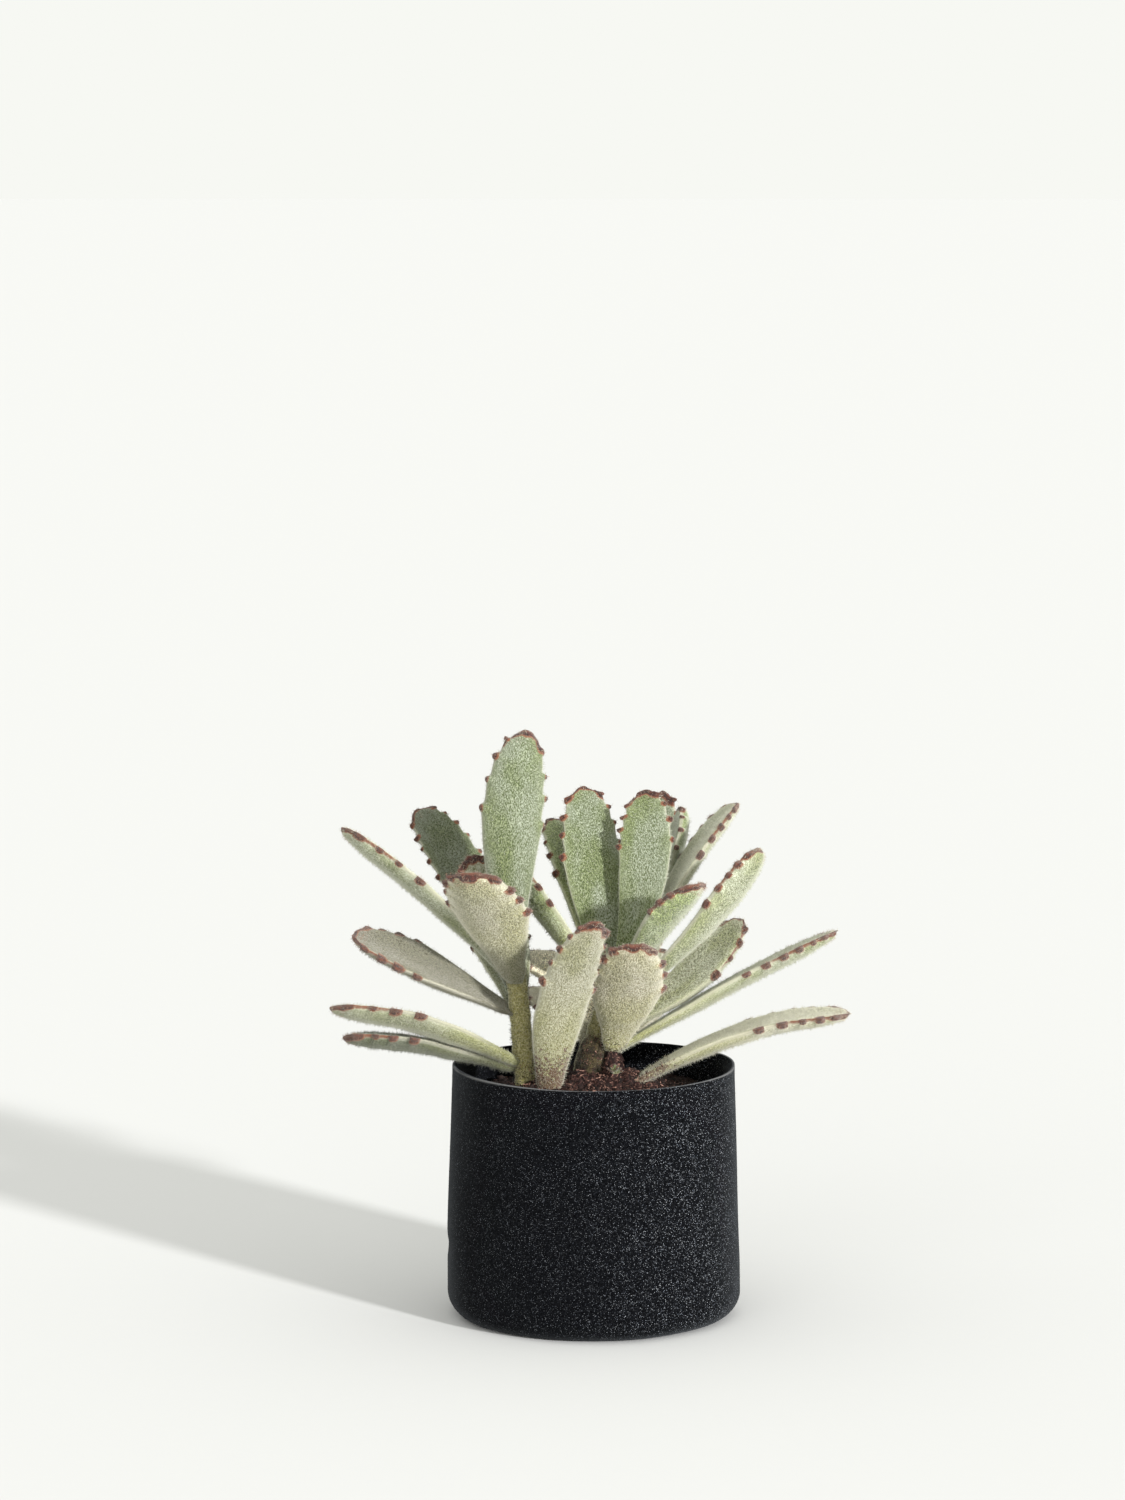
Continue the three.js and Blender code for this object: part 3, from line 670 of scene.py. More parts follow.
def blade_tree():
    """A thick blade with teeth: a grid wrapped round a bent centre line and closed at both ends."""
    tree, given = new_tree("Toothed Blade", BLADE_INPUTS)
    seed = given["Seed"] * 7.31  # takes every leaf to its own place in the noise
    sheet = put(tree, "GeometryNodeMeshGrid", {
        "Size X": 1.0, "Size Y": 1.0, "Vertices X": given["Columns"] + 1.0, "Vertices Y": given["Rows"]})
    x, y, _ = parts_of(tree, put(tree, "GeometryNodeInputPosition"))
    turn, row = (x + 0.5) * -2 * math.pi, y + 0.5
    across, over = maths(tree, "COSINE", turn), maths(tree, "SINE", turn)
    margin, height = maths(tree, "ABSOLUTE", across), maths(tree, "ABSOLUTE", over)
    face = maths(tree, "SIGN", over)
    share = row * (1.9 - row * 0.9)  # the rows stand closer towards the tip

    # Where on the centre line this point stands: the teeth of the two margins take turns.
    pitch = TOOTHED / larger(given["Teeth"], 1.0)
    slant = pitch * 0.25 * smooth(share, 0.3, 0.5) * smooth(share, 0.85, 1.0, 1.0, 0.0)
    here = smaller(share + slant * across, 1.0)
    point, along, upper, side = centre_line(tree, given, here)

    # The plain blade.
    outline = outline_of(given, here)
    wave = noise(tree, vector_of(tree, here * 4.0, across * 0.6, seed), 1.0, 2.0) - 0.5
    closed = smaller(row * given["Rows"], 1.0)
    plain = outline * given["Width"] * 0.5 * (1.0 + wave * 0.12)
    depth = given["Thickness"] * smaller(outline * 0.9 + 0.25, 1.0) * smaller(outline * 3.0, 1.0) * closed
    rise = depth * smooth(over, -0.05, 0.05, BELOW, ABOVE) * face * height ** 0.85

    # Teeth: the margin rises slowly to a small hook, which ends in a round knob.
    within, teeth_a_length, chance, toothed = tooth_at(tree, given, share, across, seed)
    bold = (chance * 0.5 + 0.75) * toothed
    peak = TEETH["peak"]
    swell = smaller(within / peak, 1.0) ** 1.4 * smooth(within, peak + 0.06, peak + 0.18, 1.0, 0.0)
    half = plain * closed + given["Tooth Height"] * swell * bold * margin ** 8.0
    apart = (within - peak + 0.02) / teeth_a_length * given["Length"] / given["Knob Stretch"]
    inwards = (1.0 - margin) * plain
    rim_height = maths(tree, "ABSOLUTE", rise + given["Thickness"] * 0.05)
    broad = larger(given["Knob Radius"] * (0.75 + chance * 0.5) * (0.85 + given["Age"] * 0.35), 0.0001)
    knob = bell(apart, broad) * bell(inwards, broad) * bell(rim_height, broad)
    bead = larger(1.0 - (apart / broad) ** 2.0, 0.0) ** 0.5
    reach = half + bead * bold * given["Knob Height"] * smooth(margin, 0.75, 0.95)

    # The tip: a crown of knobs side by side.
    lateral = reach * across
    crown = noise(tree, vector_of(tree, lateral / CROWN_PITCH, seed * 1.7, face * 0.2), 1.0, 1.0)
    crown = smooth(crown, 0.36, 0.62)
    from_edge = smaller(inwards, (1.0 - here) * given["Length"])
    at_tip = smooth(here, given["Cap At"] - 0.03, given["Cap At"] + 0.03) * given["Rust"]
    push = bell(from_edge, 0.0009) * at_tip * crown * given["Knob Height"]
    cup = given["Cup"] * plain * across * across
    swelling = wave * given["Thickness"] * 0.22 * outline
    place = point + side * lateral + upper * (rise + cup + swelling) + along * push

    # What the finish reads: how far a point is from the nearest knob and from the tip's edge, its place in
    # the grain of the hairs, and the leaf's own kind.
    lengthwise = here * given["Length"] * 0.4  # the hairs lie longer along the leaf than across it
    layer = face * 0.01 + seed * 0.02  # every face of every leaf has its own
    vectors = {
        "from_knob": vector_of(tree, apart, inwards, rim_height) / broad,
        "from_tip": vector_of(tree, lateral, from_edge, rim_height),
        "grain": vector_of(tree, across * plain, lengthwise, layer + rise)}
    cap_depth = larger(crown, bell(lateral, 0.0022)) * 0.0016 + 0.0003
    # The foot, where a painted shadow keeps only its given share of the leaf's brightness.
    lower_part = smooth(here, 0.2, 0.42, 1.0, 0.0)
    numbers = {
        "rust": knob * bold,
        "at_tip": at_tip,
        "line": given["Line"] * smooth(here, 0.5, 0.8),
        "cap_depth": cap_depth * given["Cap Width"],
        "age": given["Age"],
        "sun": given["Sun"] * smooth(here, 0.05, 0.7, 1.0, 0.0),
        "scurf": given["Scurf"] * smooth(here, 0.05, 0.45, 1.0, 0.0),
        # The leaf's brightness: partly its own tone and partly painted light and shade.
        "tone_and_painted_light": given["Lightness"] * (1.0 - lower_part * (1.0 - given["Foot Painted Light"])),
        "fuzz": given["Fuzz"] * smooth(here, 0.08, 0.5)}
    marked = sheet
    for name, value in vectors.items():
        marked = keep(marked, name, value, kind="FLOAT_VECTOR")
    for name, value in numbers.items():
        marked = keep(marked, name, value)
    shaped = put(tree, "GeometryNodeSetPosition", {"Geometry": marked, "Position": place})
    end_tree(tree, welded(shaped, 4e-6), given["Finish"])
    return tree


def stood(tree, spots, form, size, lean, seed):
    """A form on each spot, turned and leant at random, with a random tone kept for its material."""
    spin = vector_of(tree, z=random_value(tree, 0.0, 2 * math.pi, seed + 1.0))
    tilt = vector_of(tree, x=random_value(tree, 0.0, 1.0, seed + 2.0) * lean)
    pose = Wire(tree, spots.socket.node.outputs["Rotation"])
    for euler in (spin, tilt):
        step = put(tree, "FunctionNodeEulerToRotation", {"Euler": euler})
        turned_by = {"Rotation": pose, "Rotate By": step}
        pose = put(tree, "FunctionNodeRotateRotation", turned_by, rotation_space="LOCAL")
    placed = {"Points": spots, "Instance": form, "Rotation": pose, "Scale": size}
    copies = put(tree, "GeometryNodeInstanceOnPoints", placed)
    return keep(copies, "tone", random_value(tree, 0.0, 1.0, seed + 4.0), "INSTANCE")


def scattered(tree, given, number):
    """Spots on the faces of a surface, so many a square metre."""
    inputs = {"Mesh": given["Geometry"], "Density": given[number], "Seed": given["Seed"]}
    return put(tree, "GeometryNodeDistributePointsOnFaces", inputs)


def down_tree():
    """Short tapered hairs on a surface."""
    tree, given = new_tree("Leaf Down", {
        "Hairs a Square Metre": 4e6, "Length": 0.0007, "Thickness": 0.00009, "Lean": 1.0, "Seed": 1,
        "Finish": DOWN})
    spots = scattered(tree, given, "Hairs a Square Metre")
    hair = put(tree, "GeometryNodeMeshCone", {
        "Vertices": 3, "Side Segments": 1, "Radius Top": 0.0, "Radius Bottom": given["Thickness"] * 0.5,
        "Depth": given["Length"]}, fill_type="NONE")
    size = random_value(tree, 0.5, 1.25, given["Seed"] + 3.0)
    end_tree(tree, stood(tree, spots, hair, size, given["Lean"], given["Seed"]), given["Finish"])
    return tree


def fibre_tree():
    """Thin bowed fibres that lie on a surface in every direction."""
    tree, given = new_tree("Loose Fibres", {
        "Fibres a Square Metre": 1e6, "Length": 0.0016, "Thickness": 0.00006, "Bow": 0.2, "Lift": 0.0001,
        "Lean": 0.3, "Seed": 1, "Finish": FIBRE})
    spots = scattered(tree, given, "Fibres a Square Metre")
    strip = put(tree, "GeometryNodeMeshGrid", {
        "Size X": given["Length"], "Size Y": given["Thickness"], "Vertices X": 3, "Vertices Y": 2})
    x, y, _ = parts_of(tree, put(tree, "GeometryNodeInputPosition"))
    reach = x / given["Length"]
    bow = reach * reach * given["Length"] * given["Bow"] * -4.0
    bent = vector_of(tree, x, y + bow, given["Lift"] + bow * 0.35)
    fibre = put(tree, "GeometryNodeSetPosition", {"Geometry": strip, "Position": bent})
    size = random_value(tree, 0.4, 1.3, given["Seed"] + 3.0)
    end_tree(tree, stood(tree, spots, fibre, size, given["Lean"], given["Seed"]), given["Finish"])
    return tree


def crumb_tree():
    """Uneven crumbs heaped on a surface."""
    tree, given = new_tree("Crumbs", {
        "Crumbs a Square Metre": 1e6, "Radius": 0.0006, "Unevenness": 0.9, "Smallest": 0.35, "Largest": 1.7,
        "Lean": 3.0, "Seed": 1, "Finish": EARTH})
    spots = scattered(tree, given, "Crumbs a Square Metre")
    ball = put(tree, "GeometryNodeMeshIcoSphere", {"Radius": given["Radius"], "Subdivisions": 1})
    place = put(tree, "GeometryNodeInputPosition")
    lump = noise(tree, place, 0.9 / given["Radius"], 2.0) - 0.5
    shift = place * lump * given["Unevenness"] * 1.6
    crumb = put(tree, "GeometryNodeSetPosition", {"Geometry": ball, "Offset": shift})
    chance = random_value(tree, 0.0, 1.0, given["Seed"] + 3.0)
    size = given["Smallest"] + chance * chance * chance * (given["Largest"] - given["Smallest"])
    end_tree(tree, stood(tree, spots, crumb, size, given["Lean"], given["Seed"]), given["Finish"], flat=True)
    return tree


def stem_tree():
    """A stem swept along its path, with swollen rings where old leaves fell."""
    tree, given = new_tree("Stem", {
        "Foot Radius": 0.003, "Tip Radius": 0.0022, "Knottiness": 0.0004, "Cork Height": 0.07, "Steps": 120,
        "Sides": 40, "Seed": 1, "Finish": STEM_SKIN})
    line = put(tree, "GeometryNodeMeshToCurve", {"Mesh": given["Geometry"]})
    path = put(tree, "GeometryNodeResampleCurve", {"Curve": line, "Count": given["Steps"]})
    share = put(tree, "GeometryNodeSplineParameter")
    width = given["Foot Radius"] * (1.0 - share) + given["Tip Radius"] * share
    girth = width * maths(tree, "SQRT", larger(1.0 - smooth(share, 0.93, 1.02), 0.02))
    sized = keep(put(tree, "GeometryNodeSetCurveRadius", {"Curve": path, "Radius": girth}), "girth", girth)
    ring = put(tree, "GeometryNodeCurvePrimitiveCircle", {"Resolution": given["Sides"], "Radius": 1.0})
    scale = put(tree, "GeometryNodeInputNamedAttribute", {"Name": "girth"}, data_type="FLOAT")
    tube = put(tree, "GeometryNodeCurveToMesh", {
        "Curve": sized, "Profile Curve": ring, "Scale": scale, "Fill Caps": True})
    x, y, z = parts_of(tree, put(tree, "GeometryNodeInputPosition"))
    knots = noise(tree, vector_of(tree, x, y, z * 2.2 + given["Seed"] * 3.0), 260.0, 3.0) - 0.5
    shift = put(tree, "GeometryNodeInputNormal") * (knots * given["Knottiness"] * 2.4)
    knotty = put(tree, "GeometryNodeSetPosition", {"Geometry": tube, "Offset": shift})
    cork = keep(knotty, "cork", smooth(z, given["Cork Height"] - 0.02, given["Cork Height"], 1.0, 0.0))
    end_tree(tree, welded(cork, 1e-6), given["Finish"])
    return tree


BLADE, LEAF_HAIRS, FIBRES, CRUMBS, STEM = blade_tree(), down_tree(), fibre_tree(), crumb_tree(), stem_tree()

# The inputs of the blade's tree that go by a short word in the tables, and those of them in millimetres.
WORDS = {
    "age": "Age", "rust": "Rust", "sun": "Sun", "scurf": "Scurf", "fuzz": "Fuzz", "line": "Line",
    "light": "Lightness", "foot": "Foot Painted Light", "cap": "Cap Width", "stretch": "Knob Stretch",
    "base": "Base Width", "widest": "Widest At"}
SIZES = {"thickness": "Thickness", "tooth": "Tooth Height"}
LEAF_SEEDS, BUD_SEEDS, SPROUT_SEEDS = 40, 90, 120  # 40 seeds for a stem's leaves, and where the others start
PLAIN_BLADE = {  # a small blade without teeth, on a coarser grid
    "base": 0.6, "widest": 0.5, "tooth": 0.0, "Knob Height": 0.0, "Knob Radius": 0.0003, "Rows": 40,
    "Columns": 20, "rust": 0.9, "sun": 0.4}

# ---------------------------------------------------------------- stems and leaves


def stem_line(path, steps=200):
    """The stem's centre line: a centripetal Catmull-Rom curve through its points."""
    points = [Vector(point) for point in path]
    ends = [2 * points[0] - points[1], *points, 2 * points[-1] - points[-2]]
    line = []
    for step in range(steps + 1):
        spot = step / steps * (len(points) - 1)
        part = min(int(spot), len(points) - 2)
        share = spot - part
        a, b, c, d = ends[part : part + 4]
        first, middle, last = (max((q - p).length_squared**0.25, 1e-4) for p, q in ((a, b), (b, c), (c, d)))
        leave = ((b - a) / first - (c - a) / (first + middle) + (c - b) / middle) * middle
        arrive = ((c - b) / middle - (d - b) / (middle + last) + (d - c) / last) * middle
        cubic = 2 * b - 2 * c + leave + arrive
        square = -3 * b + 3 * c - 2 * leave - arrive
        line.append(b + leave * share + square * share**2 + cubic * share**3)
    return line


def on_stem(stem, height, around):
    """Where a leaf grows from its stem at a height: inside the stem, on the leaf's own side."""
    line = stem_line(stem["path"])
    nearest = min(range(len(line)), key=lambda i: abs(line[i].z - height))
    foot, tip = stem["radii"]
    radius = foot + (tip - foot) * nearest / (len(line) - 1)
    turn = math.radians(around)
    return line[nearest] + 0.45 * radius * Vector((math.cos(turn), math.sin(turn), 0))


def line_length(root, bend, tip, steps=24):
    """The length of a blade's bent centre line."""
    shares = [step / steps for step in range(steps + 1)]
    spots = [root * (1 - t) ** 2 + bend * 2 * t * (1 - t) + tip * t**2 for t in shares]
    return sum((b - a).length for a, b in zip(spots, spots[1:]))


def blade(name, root, around, mid, tip, width, seed, **kind):
    """One blade. Its points and sizes are in millimetres, and its kind is said as in the table of leaves."""
    root, mid, tip = Vector(root), Vector(mid), Vector(tip)
    bend = 2 * mid - 0.5 * root - 0.5 * tip
    length = line_length(root, bend, tip)
    turn = math.radians(around)
    teeth = max(2, int(TOOTHED * length / TEETH["pitch"] + 0.5))
    inputs = {
        "Root": tuple(root * MM), "Bend": tuple(bend * MM), "Tip": tuple(tip * MM), "Length": length * MM,
        "Outwards": (math.cos(turn), math.sin(turn), 0.0), "Width": width * MM, "Seed": seed,
        "Roll": math.radians(kind.pop("roll", 0)), "Teeth": kind.pop("teeth", teeth)}
    if kind.pop("edge_on", False):
        kind = EDGE_ON | kind
    for word, value in kind.items():
        if word in SIZES:
            inputs[SIZES[word]] = value * MM
        elif word in WORDS:
            inputs[WORDS[word]] = float(value)
        else:
            inputs[word] = value
    return grown(name, BLADE, inputs)


def small_blades(name, foot, rows, seed, scale=1.0, **kind):
    """A tuft of small blades that lean out from a foot, such as the young leaves folded over a stem's tip."""
    sunk, aside_share, risen = 1, 0.15, 0.6  # each starts below the foot, a little aside, and rises at first
    made = []
    for k, (around, lean, length) in enumerate(rows):
        turn, tilt = math.radians(around), math.radians(lean)
        aside = Vector((math.cos(turn), math.sin(turn), 0)) * length * math.sin(tilt)
        rise = length * math.cos(tilt)
        root = Vector((foot[0], foot[1], foot[2] - sunk)) + aside_share * aside
        tip = root + aside + Vector((0, 0, rise))
        mid = (root + tip) / 2
        mid.z = root.z + risen * rise
        size = {"width": 4.2 * scale, "thickness": 2.4 * scale}
        made.append(blade(f"{name}_{k}", root, around, mid, tip, seed=seed + k, **size, **PLAIN_BLADE | kind))
    return made


def dress(piece, slot, *nodes):
    """Hangs a finished piece on the frame."""
    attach(piece, "root")
    if nodes:
        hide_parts(*nodes)


def grown_stem(name, stem, number):
    """A stem and the young leaves folded over its tip, as one piece."""
    line = [point * MM for point in stem_line(stem["path"], 60)]
    line.append(line[-1] + Vector((0, 0, STEM_END * MM)))
    wire = bpy.data.meshes.new(name + "_line")
    wire.from_pydata(line, [(i, i + 1) for i in range(len(line) - 1)], [])
    foot, tip = stem["radii"]
    stalk = grown(name + "_stalk", STEM, {
        "Foot Radius": foot * MM, "Tip Radius": tip * MM, "Knottiness": stem["knots"] * MM,
        "Cork Height": stem["cork"] * MM, "Seed": number}, wire)
    buds = small_blades(name + "_bud", stem["path"][-1], BUD, BUD_SEEDS + len(BUD) * number)
    return merged(name + "_stem_skin", [stalk, *buds])


stem_pieces, leaf_pieces = {}, {}
for number, (name, stem) in enumerate(STEMS.items()):
    stem_pieces[name] = grown_stem(name, stem, number)
    leaf_pieces[name] = []
    for index, row in enumerate(LEAVES[name], 1):
        start, around = row["start"], row["around"]
        root = start if isinstance(start, tuple) else on_stem(stem, start, around)
        label = f"{name}_leaf_{index:02d}"
        seed = LEAF_SEEDS * number + index
        made = blade(label + "_blade", root, around, *row["points"], row["width"], seed, **row["kind"])
        leaf_pieces[name].append(made)
        dress(made, "leaf", label)
    dress(stem_pieces[name], "stem", name + "_stem")

# The down of a stem's leaves is one piece.
for number, (name, stem) in enumerate(STEMS.items()):
    bare = [*leaf_pieces[name], stem_pieces[name]]
    copies = [linked(f"{name}_copy_{i}", piece.data.copy()) for i, piece in enumerate(bare)]
    whole = merged(name + "_whole", copies)
    density = {"Hairs a Square Metre": stem["down"], "Seed": 11 + number}
    hairs = grown(name + "_leaf_down", LEAF_HAIRS, density, whole.data)
    bpy.data.objects.remove(whole)
    dress(hairs, "leaf")

# ---------------------------------------------------------------- pot, soil and what lies on it


def turned(name, profile, sides, finish, shape, marks):
    """A closed mesh: a profile of radius and height, from its foot to its end, turned about the upright axis.

    shape moves its points, and marks gives the values that are kept on them for the finish.
    """
    profile = np.array(profile, float)
    turns = np.arange(sides) * 2 * math.pi / sides
    rings = profile[1:-1]
    radius = np.repeat(rings[:, 0], sides)
    angle = np.tile(turns, len(rings))
    points = np.stack([radius * np.cos(angle), radius * np.sin(angle), np.repeat(rings[:, 1], sides)], 1)
    points = shape(np.vstack([points, [0, 0, profile[0, 1]], [0, 0, profile[-1, 1]]]))
    faces = []
    for ring in range(len(rings) - 1):
        low, high = ring * sides, (ring + 1) * sides
        for side in range(sides):
            after = (side + 1) % sides
            faces.append((low + side, low + after, high + after, high + side))
    foot, end, last = len(points) - 2, len(points) - 1, (len(rings) - 1) * sides
    for side in range(sides):
        after = (side + 1) % sides
        faces.append((foot, after, side))
        faces.append((end, last + side, last + after))
    mesh = bpy.data.meshes.new(name)
    mesh.from_pydata((points * MM).tolist(), [], faces)
    for label, values in marks(points).items():
        mesh.attributes.new(label, "FLOAT", "POINT").data.foreach_set("value", np.asarray(values, np.float32))
    mesh.materials.append(finish)
    mesh.shade_smooth()
    return linked(name, mesh)


def arc(centre_x, centre_y, radius, start, end, steps):
    """The points of a round stretch, its ends included."""
    turns = np.radians(np.linspace(start, end, steps + 1))
    return [(centre_x + radius * math.cos(t), centre_y + radius * math.sin(t)) for t in turns]


def between(first, last, steps):
    """The points of a straight stretch, its ends left out."""
    return [tuple(np.add(first, np.subtract(last, first) * k / steps)) for k in range(1, steps)]


def pot_profile():
    """Up the outside of the pot, over its rounded rim and down the inside."""
    belly, corner, rim, height, wall = POT["belly"], POT["corner"], POT["rim"], POT["height"], POT["wall"]
    lip, edge = POT["lip"], POT["edge"]

    def side(inset, pared):
        """From the middle of the base to the rim. The wall is pared thinner there."""
        bottom = arc(belly - corner, corner, corner - inset, -90, 0, steps=14)
        wide = (belly - inset, POT["belly_height"])
        waist = (POT["waist"] - inset, POT["waist_height"])
        thinned = (rim - inset, height - POT["thinning"])
        rise = [wide, *between(wide, waist, steps=16), waist, *between(waist, thinned, steps=14), thinned]
        rise += [(rim - pared, height - drop * edge) for drop in (3, 1.5, 1)]
        return between((0, inset), bottom[0], steps=8) + bottom + rise

    outer_edge = arc(rim - edge, height - edge, edge, 0, 90, steps=4)[1:]
    inner_edge = arc(rim - lip + edge, height - edge, edge, 90, 180, steps=4)[:-1]
    return [(0, 0), *side(0, 0), *outer_edge, *inner_edge, *reversed(side(wall, lip)), (0, wall)]


def slumped(points):
    """The pot's own unevenness: a soft cloth cylinder is never quite round."""
    x, y, z = points.T
    angle, reach = np.arctan2(y, x), np.hypot(x, y)
    height = z / POT["height"]
    wave = 0.16 * np.sin(3 * angle + 0.7) + 0.12 * np.sin(5 * angle + 2 + 3 * height)
    wave += 0.1 * np.sin(9 * angle + 5 * height)

    def dent(where, level, wide, tall, deep):
        away = np.angle(np.exp(1j * (angle - math.radians(where)))) * WALL_RADIUS
        return -deep * np.exp(-((away / wide) ** 2) - ((z - level) / tall) ** 2)

    wave += sum(dent(*row) for row in DENTS)
    full = np.clip(reach / 24, 0, 1) ** 2  # nothing moves at the middle of the base
    lean = -0.45 * np.exp(-(((z - 20) / 18) ** 2))  # its lower half sits to one side
    moved = points.copy()
    moved[:, 0] += wave * full * np.cos(angle) + lean
    moved[:, 1] += wave * full * np.sin(angle)
    moved[:, 2] += 0.18 * np.sin(2 * angle + 1.1) * np.clip(height - 0.8, 0, 1) * 5 * full
    return moved


def rim_marks(points):
    """Where the felt was cut: the top of the rim."""
    x, y, z = points.T
    outer = np.clip((np.hypot(x, y) - POT["rim"] + 0.4) / 0.15, 0, 1)
    return {"cut_edge": outer * np.clip((z - POT["height"] + 0.25) / 0.15, 0, 1)}


def soil_height(x, y):
    """Height of the soil's surface: mounded, cloddy, and heaped against the stems."""
    mound = SOIL["mound"] * np.maximum(0, 1 - np.hypot(x, y) / SOIL["mound_reach"])
    clods = np.sin(0.9 * x + 1.3) * np.cos(0.75 * y) + np.sin(0.5 * x - 0.8 * y)
    fine = np.sin(2.3 * x + 1.1 * y) * np.sin(1.9 * y - 0.6 * x + 2) * 0.3 + np.sin(4.1 * x - 3.3 * y) * 0.12

    def heap(x_middle, y_middle, radius, rise):
        away = np.maximum(0, np.hypot(x - x_middle, y - y_middle) - radius)
        return rise * np.exp(-((away / HEAP_REACH) ** 2))

    heaps = sum(heap(*row) for row in SOIL_HEAPS)
    return SOIL["level"] + mound + SOIL["roughness"] * clods + fine + heaps


def soil_profile(rings=44):
    """Along the underside of the soil, up inside the pot and back over the surface, in this many rings."""
    inset = POT["wall"] + SOIL["gap"]
    bottom = arc(POT["belly"] - POT["corner"], POT["corner"], POT["corner"] - inset, -90, 0, steps=8)
    side = [(POT["belly"] - inset, POT["belly_height"]), (POT["waist"] - inset, POT["waist_height"])]
    surface = [(SOIL["edge"] * ring / rings, SOIL["level"]) for ring in range(rings, 0, -1)]
    return [(0, inset), *bottom, *side, *surface, (0, SOIL["level"])]


def heaped(points):
    """The soil's flat surface raised to its real height."""
    moved = points.copy()
    top = points[:, 2] > SOIL["level"] - 0.01
    moved[top, 2] = soil_height(points[top, 0], points[top, 1])
    return moved


def earth_tone(points):
    """One dark tone all over. The crumbs have a tone each."""
    return {"tone": np.full(len(points), 0.2)}


pot = turned("felt_pot_wool", pot_profile(), ROUND["pot"], FELT, slumped, rim_marks)
dress(pot, "felt", "felt_pot")
lint = grown("felt_pot_lint", FIBRES, {
    "Fibres a Square Metre": 6e5, "Length": 0.0006, "Thickness": 0.00005, "Lift": 0.00008,
    "Seed": 5}, pot.data.copy())
dress(lint, "felt")

soil = turned("potting_soil_bed", soil_profile(), ROUND["soil"], EARTH, heaped, earth_tone)
dress(soil, "soil", "potting_soil")


def chosen_faces(name, things, wanted):
    """The wanted faces of some pieces, as one mesh. A face is judged by its middle in mm and its normal."""
    points, faces = [], []
    for thing in things:
        shift = len(points)
        points += [vertex.co.copy() for vertex in thing.data.vertices]
        chosen = [face for face in thing.data.polygons if wanted(face.center / MM, face.normal)]
        faces += [tuple(number + shift for number in face.vertices) for face in chosen]
    mesh = bpy.data.meshes.new(name)
    mesh.from_pydata(points, [], faces)
    return mesh


def near(point, spots):
    """Whether a point lies within the reach of one of these spots, seen from above."""
    return any(math.hypot(point.x - x, point.y - y) < reach for x, y, reach in spots)


def on_top(middle, normal):
    return middle.z > SOIL["level"] - 1.5 and normal.z > 0.2


def in_heaps(middle, normal):
    return normal.z > 0.2 and near(middle, LITTER["heaps"])


def at_feet(middle, _):
    """Near the soil, and highest at the middle stem."""
    return LITTER["low"] < middle.z < LITTER["high"] - LITTER["fall"] * abs(middle.x - 1)


surface = chosen_faces("soil_top", [soil], on_top)
crumbs = grown("potting_soil_crumbs", CRUMBS, {
    "Crumbs a Square Metre": 9e5, "Radius": 0.0006, "Seed": 21}, surface.copy())
dress(crumbs, "soil")
threads = grown("potting_soil_threads", FIBRES, {
    "Fibres a Square Metre": 1.6e5, "Length": 0.004, "Thickness": 0.00012, "Lift": 0.0006, "Lean": 0.6,
    "Seed": 31, "Finish": HUSK}, surface)
dress(threads, "soil")

# Old hairs and leaf scales lie heaped between the stems and cling to the feet of the stems and lowest leaves.
litter = grown("potting_soil_litter", FIBRES, {
    "Fibres a Square Metre": 1.4e7, "Length": 0.002, "Thickness": 0.00022, "Bow": 0.45, "Lift": 0.0005,
    "Lean": 1.3, "Seed": 41, "Finish": HUSK}, chosen_faces("heaps", [soil], in_heaps))
dress(litter, "soil")
low_leaves = [bpy.data.objects[name + "_blade"] for name in LITTER["leaves"]]
feet = chosen_faces("feet", [stem_pieces["middle"], stem_pieces["left"], *low_leaves], at_feet)
scales = grown("stem_scales", FIBRES, {
    "Fibres a Square Metre": 5e6, "Length": 0.0013, "Thickness": 0.0002, "Bow": 0.4, "Lift": 0.00005,
    "Lean": 0.8, "Seed": 51, "Finish": HUSK}, feet)
dress(scales, "stem")


def clump_heap(number, x_middle, y_middle, wide, tall, lean):
    """One uneven heap of old scales."""

    def placed(points):
        x, y, z = points.T
        turn = np.arctan2(y, x) + 1.7 * number
        width = wide * (1 + 0.16 * np.sin(0.8 * z + 3 * turn) + 0.1 * np.sin(1.9 * z - 5 * turn))
        return np.stack([x * width + lean * z + x_middle, y * width + y_middle, z * tall + CLUMP["foot"]], 1)

    return turned(f"heap_{number}", CLUMP["profile"], ROUND["heap"], EARTH, placed, earth_tone)


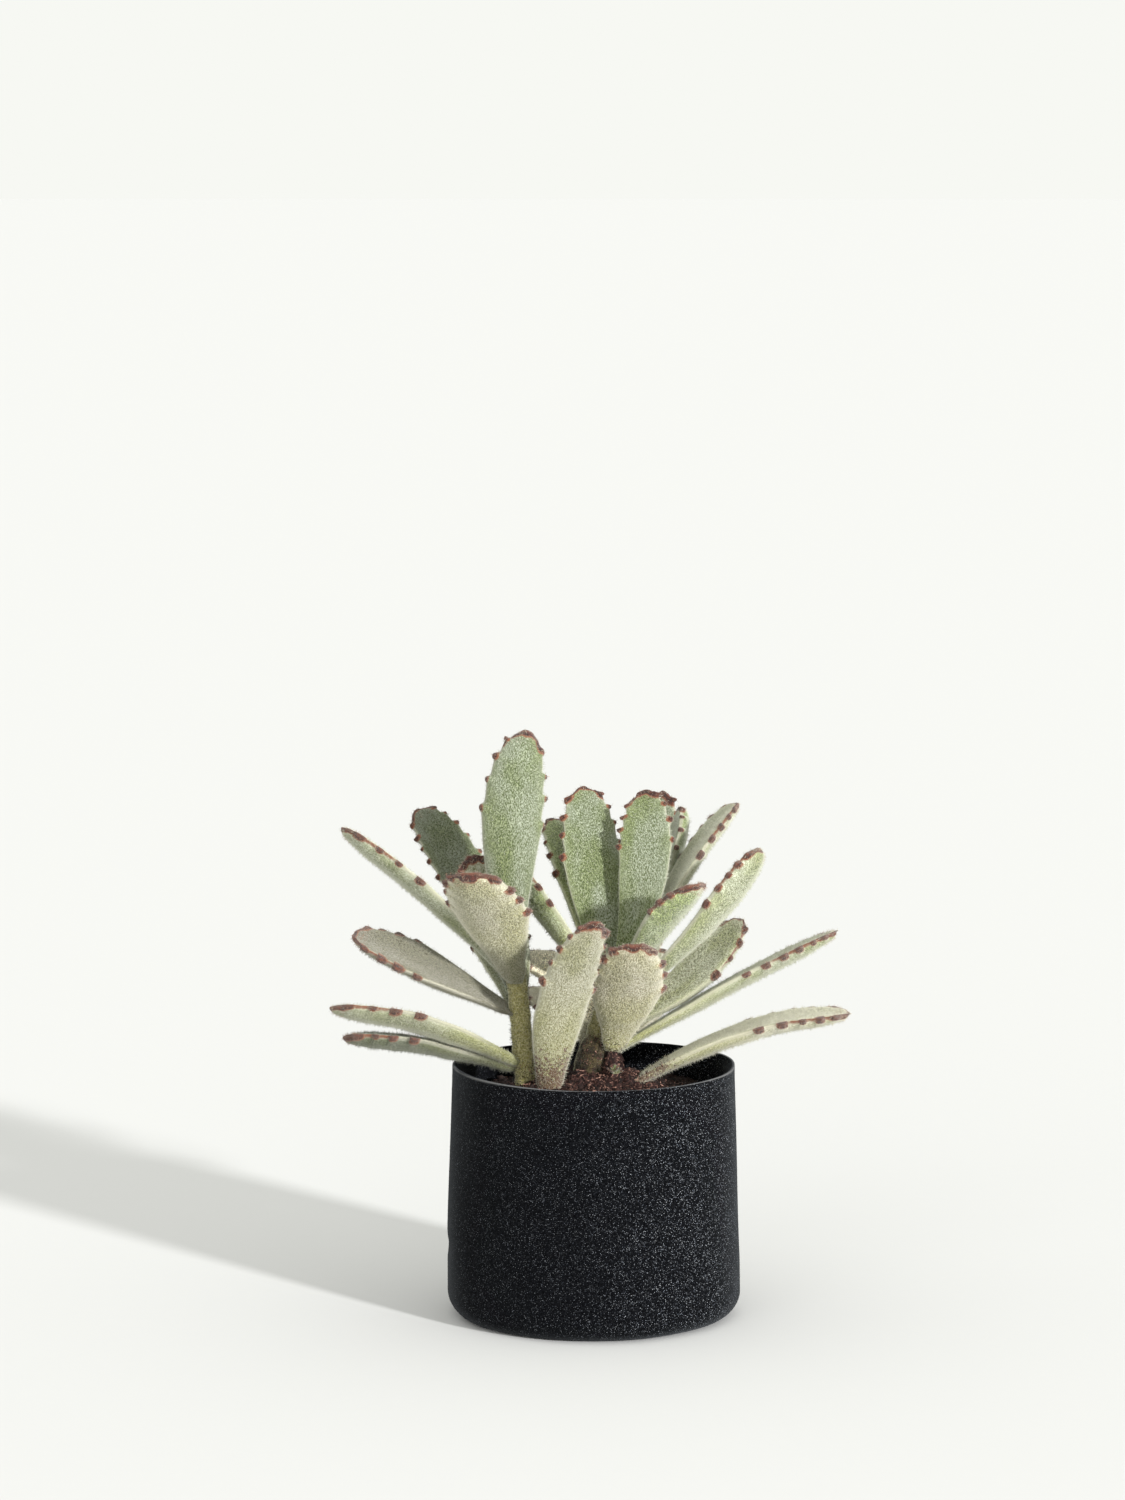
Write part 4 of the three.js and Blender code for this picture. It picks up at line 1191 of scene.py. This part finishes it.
clump = merged("old_scales", [clump_heap(number, *row) for number, row in enumerate(CLUMP["heaps"])])
husks = grown("old_scales_husks", FIBRES, {
    "Fibres a Square Metre": 1.1e7, "Length": 0.002, "Thickness": 0.00024, "Bow": 0.3, "Lift": 0.0003,
    "Lean": 0.9, "Seed": 61, "Finish": HUSK}, clump.data.copy())
for piece in (clump, husks):
    dress(piece, "soil")
tuft = small_blades("sprout", SPROUT["at"], SPROUT["leaves"], SPROUT_SEEDS, SPROUT["scale"], **SPROUT["kind"])
dress(merged("sprout_leaves", tuft), "leaf")

# ---------------------------------------------------------------- floor, light and camera

FLOOR = 9000  # half its width, in millimetres as the camera's place
LAMPS = {  # a lamp is a sun: its strength, its spread in degrees and the direction that it shines from
    "key": (5.0, 4.5, (0.621, -0.74, 0.259)),
    "fill": (1.4, 60, (-0.25, -0.95, 0.2))}
SKY = (0.93, 0.939, 0.896, 1)
CAMERA = {"place": (-7.15, -1255.6, 287.8), "dip": 7.2, "lens": 135, "sensor": 36, "reach": 50000}


def floor_paper():
    """Plain pale paper with a faint grain."""
    finish, tree, place, surface = new_finish("floor paper", specular=0.0)
    grain = noise(tree, place, 300.0, 2.0)
    paper = blend_colours(tree, grain, (0.648, 0.649, 0.642, 1), (0.654, 0.655, 0.648, 1))
    coat(tree, surface, paper, roughness=1.0)
    return finish


corners = [(x * FLOOR * MM, y * FLOOR * MM, 0) for x, y in ((-1, -1), (1, -1), (1, 1), (-1, 1))]
floor_mesh = bpy.data.meshes.new("studio_floor")
floor_mesh.from_pydata(corners, [], [(0, 1, 2, 3)])
floor_mesh.materials.append(floor_paper())
floor = linked("studio_floor", floor_mesh)

world = bpy.data.worlds.new("studio")
bpy.context.scene.world = world
world.use_nodes = True
background = world.node_tree.nodes["Background"]
background.inputs["Color"].default_value = SKY
background.inputs["Strength"].default_value = 1.0

for name, (strength, spread, direction) in LAMPS.items():
    light = bpy.data.lights.new(name, "SUN")
    light.energy, light.angle = strength, math.radians(spread)
    holder = linked(name, light)
    holder.rotation_euler = Vector(direction).to_track_quat("Z", "Y").to_euler()

camera = bpy.data.cameras.new("camera")
camera.lens, camera.sensor_width, camera.clip_end = CAMERA["lens"], CAMERA["sensor"], CAMERA["reach"] * MM
eye = linked("camera", camera)
eye.location = [value * MM for value in CAMERA["place"]]
eye.rotation_euler = (math.radians(90 - CAMERA["dip"]), 0, 0)
bpy.context.scene.camera = eye
bpy.context.scene.view_settings.view_transform = "Standard"
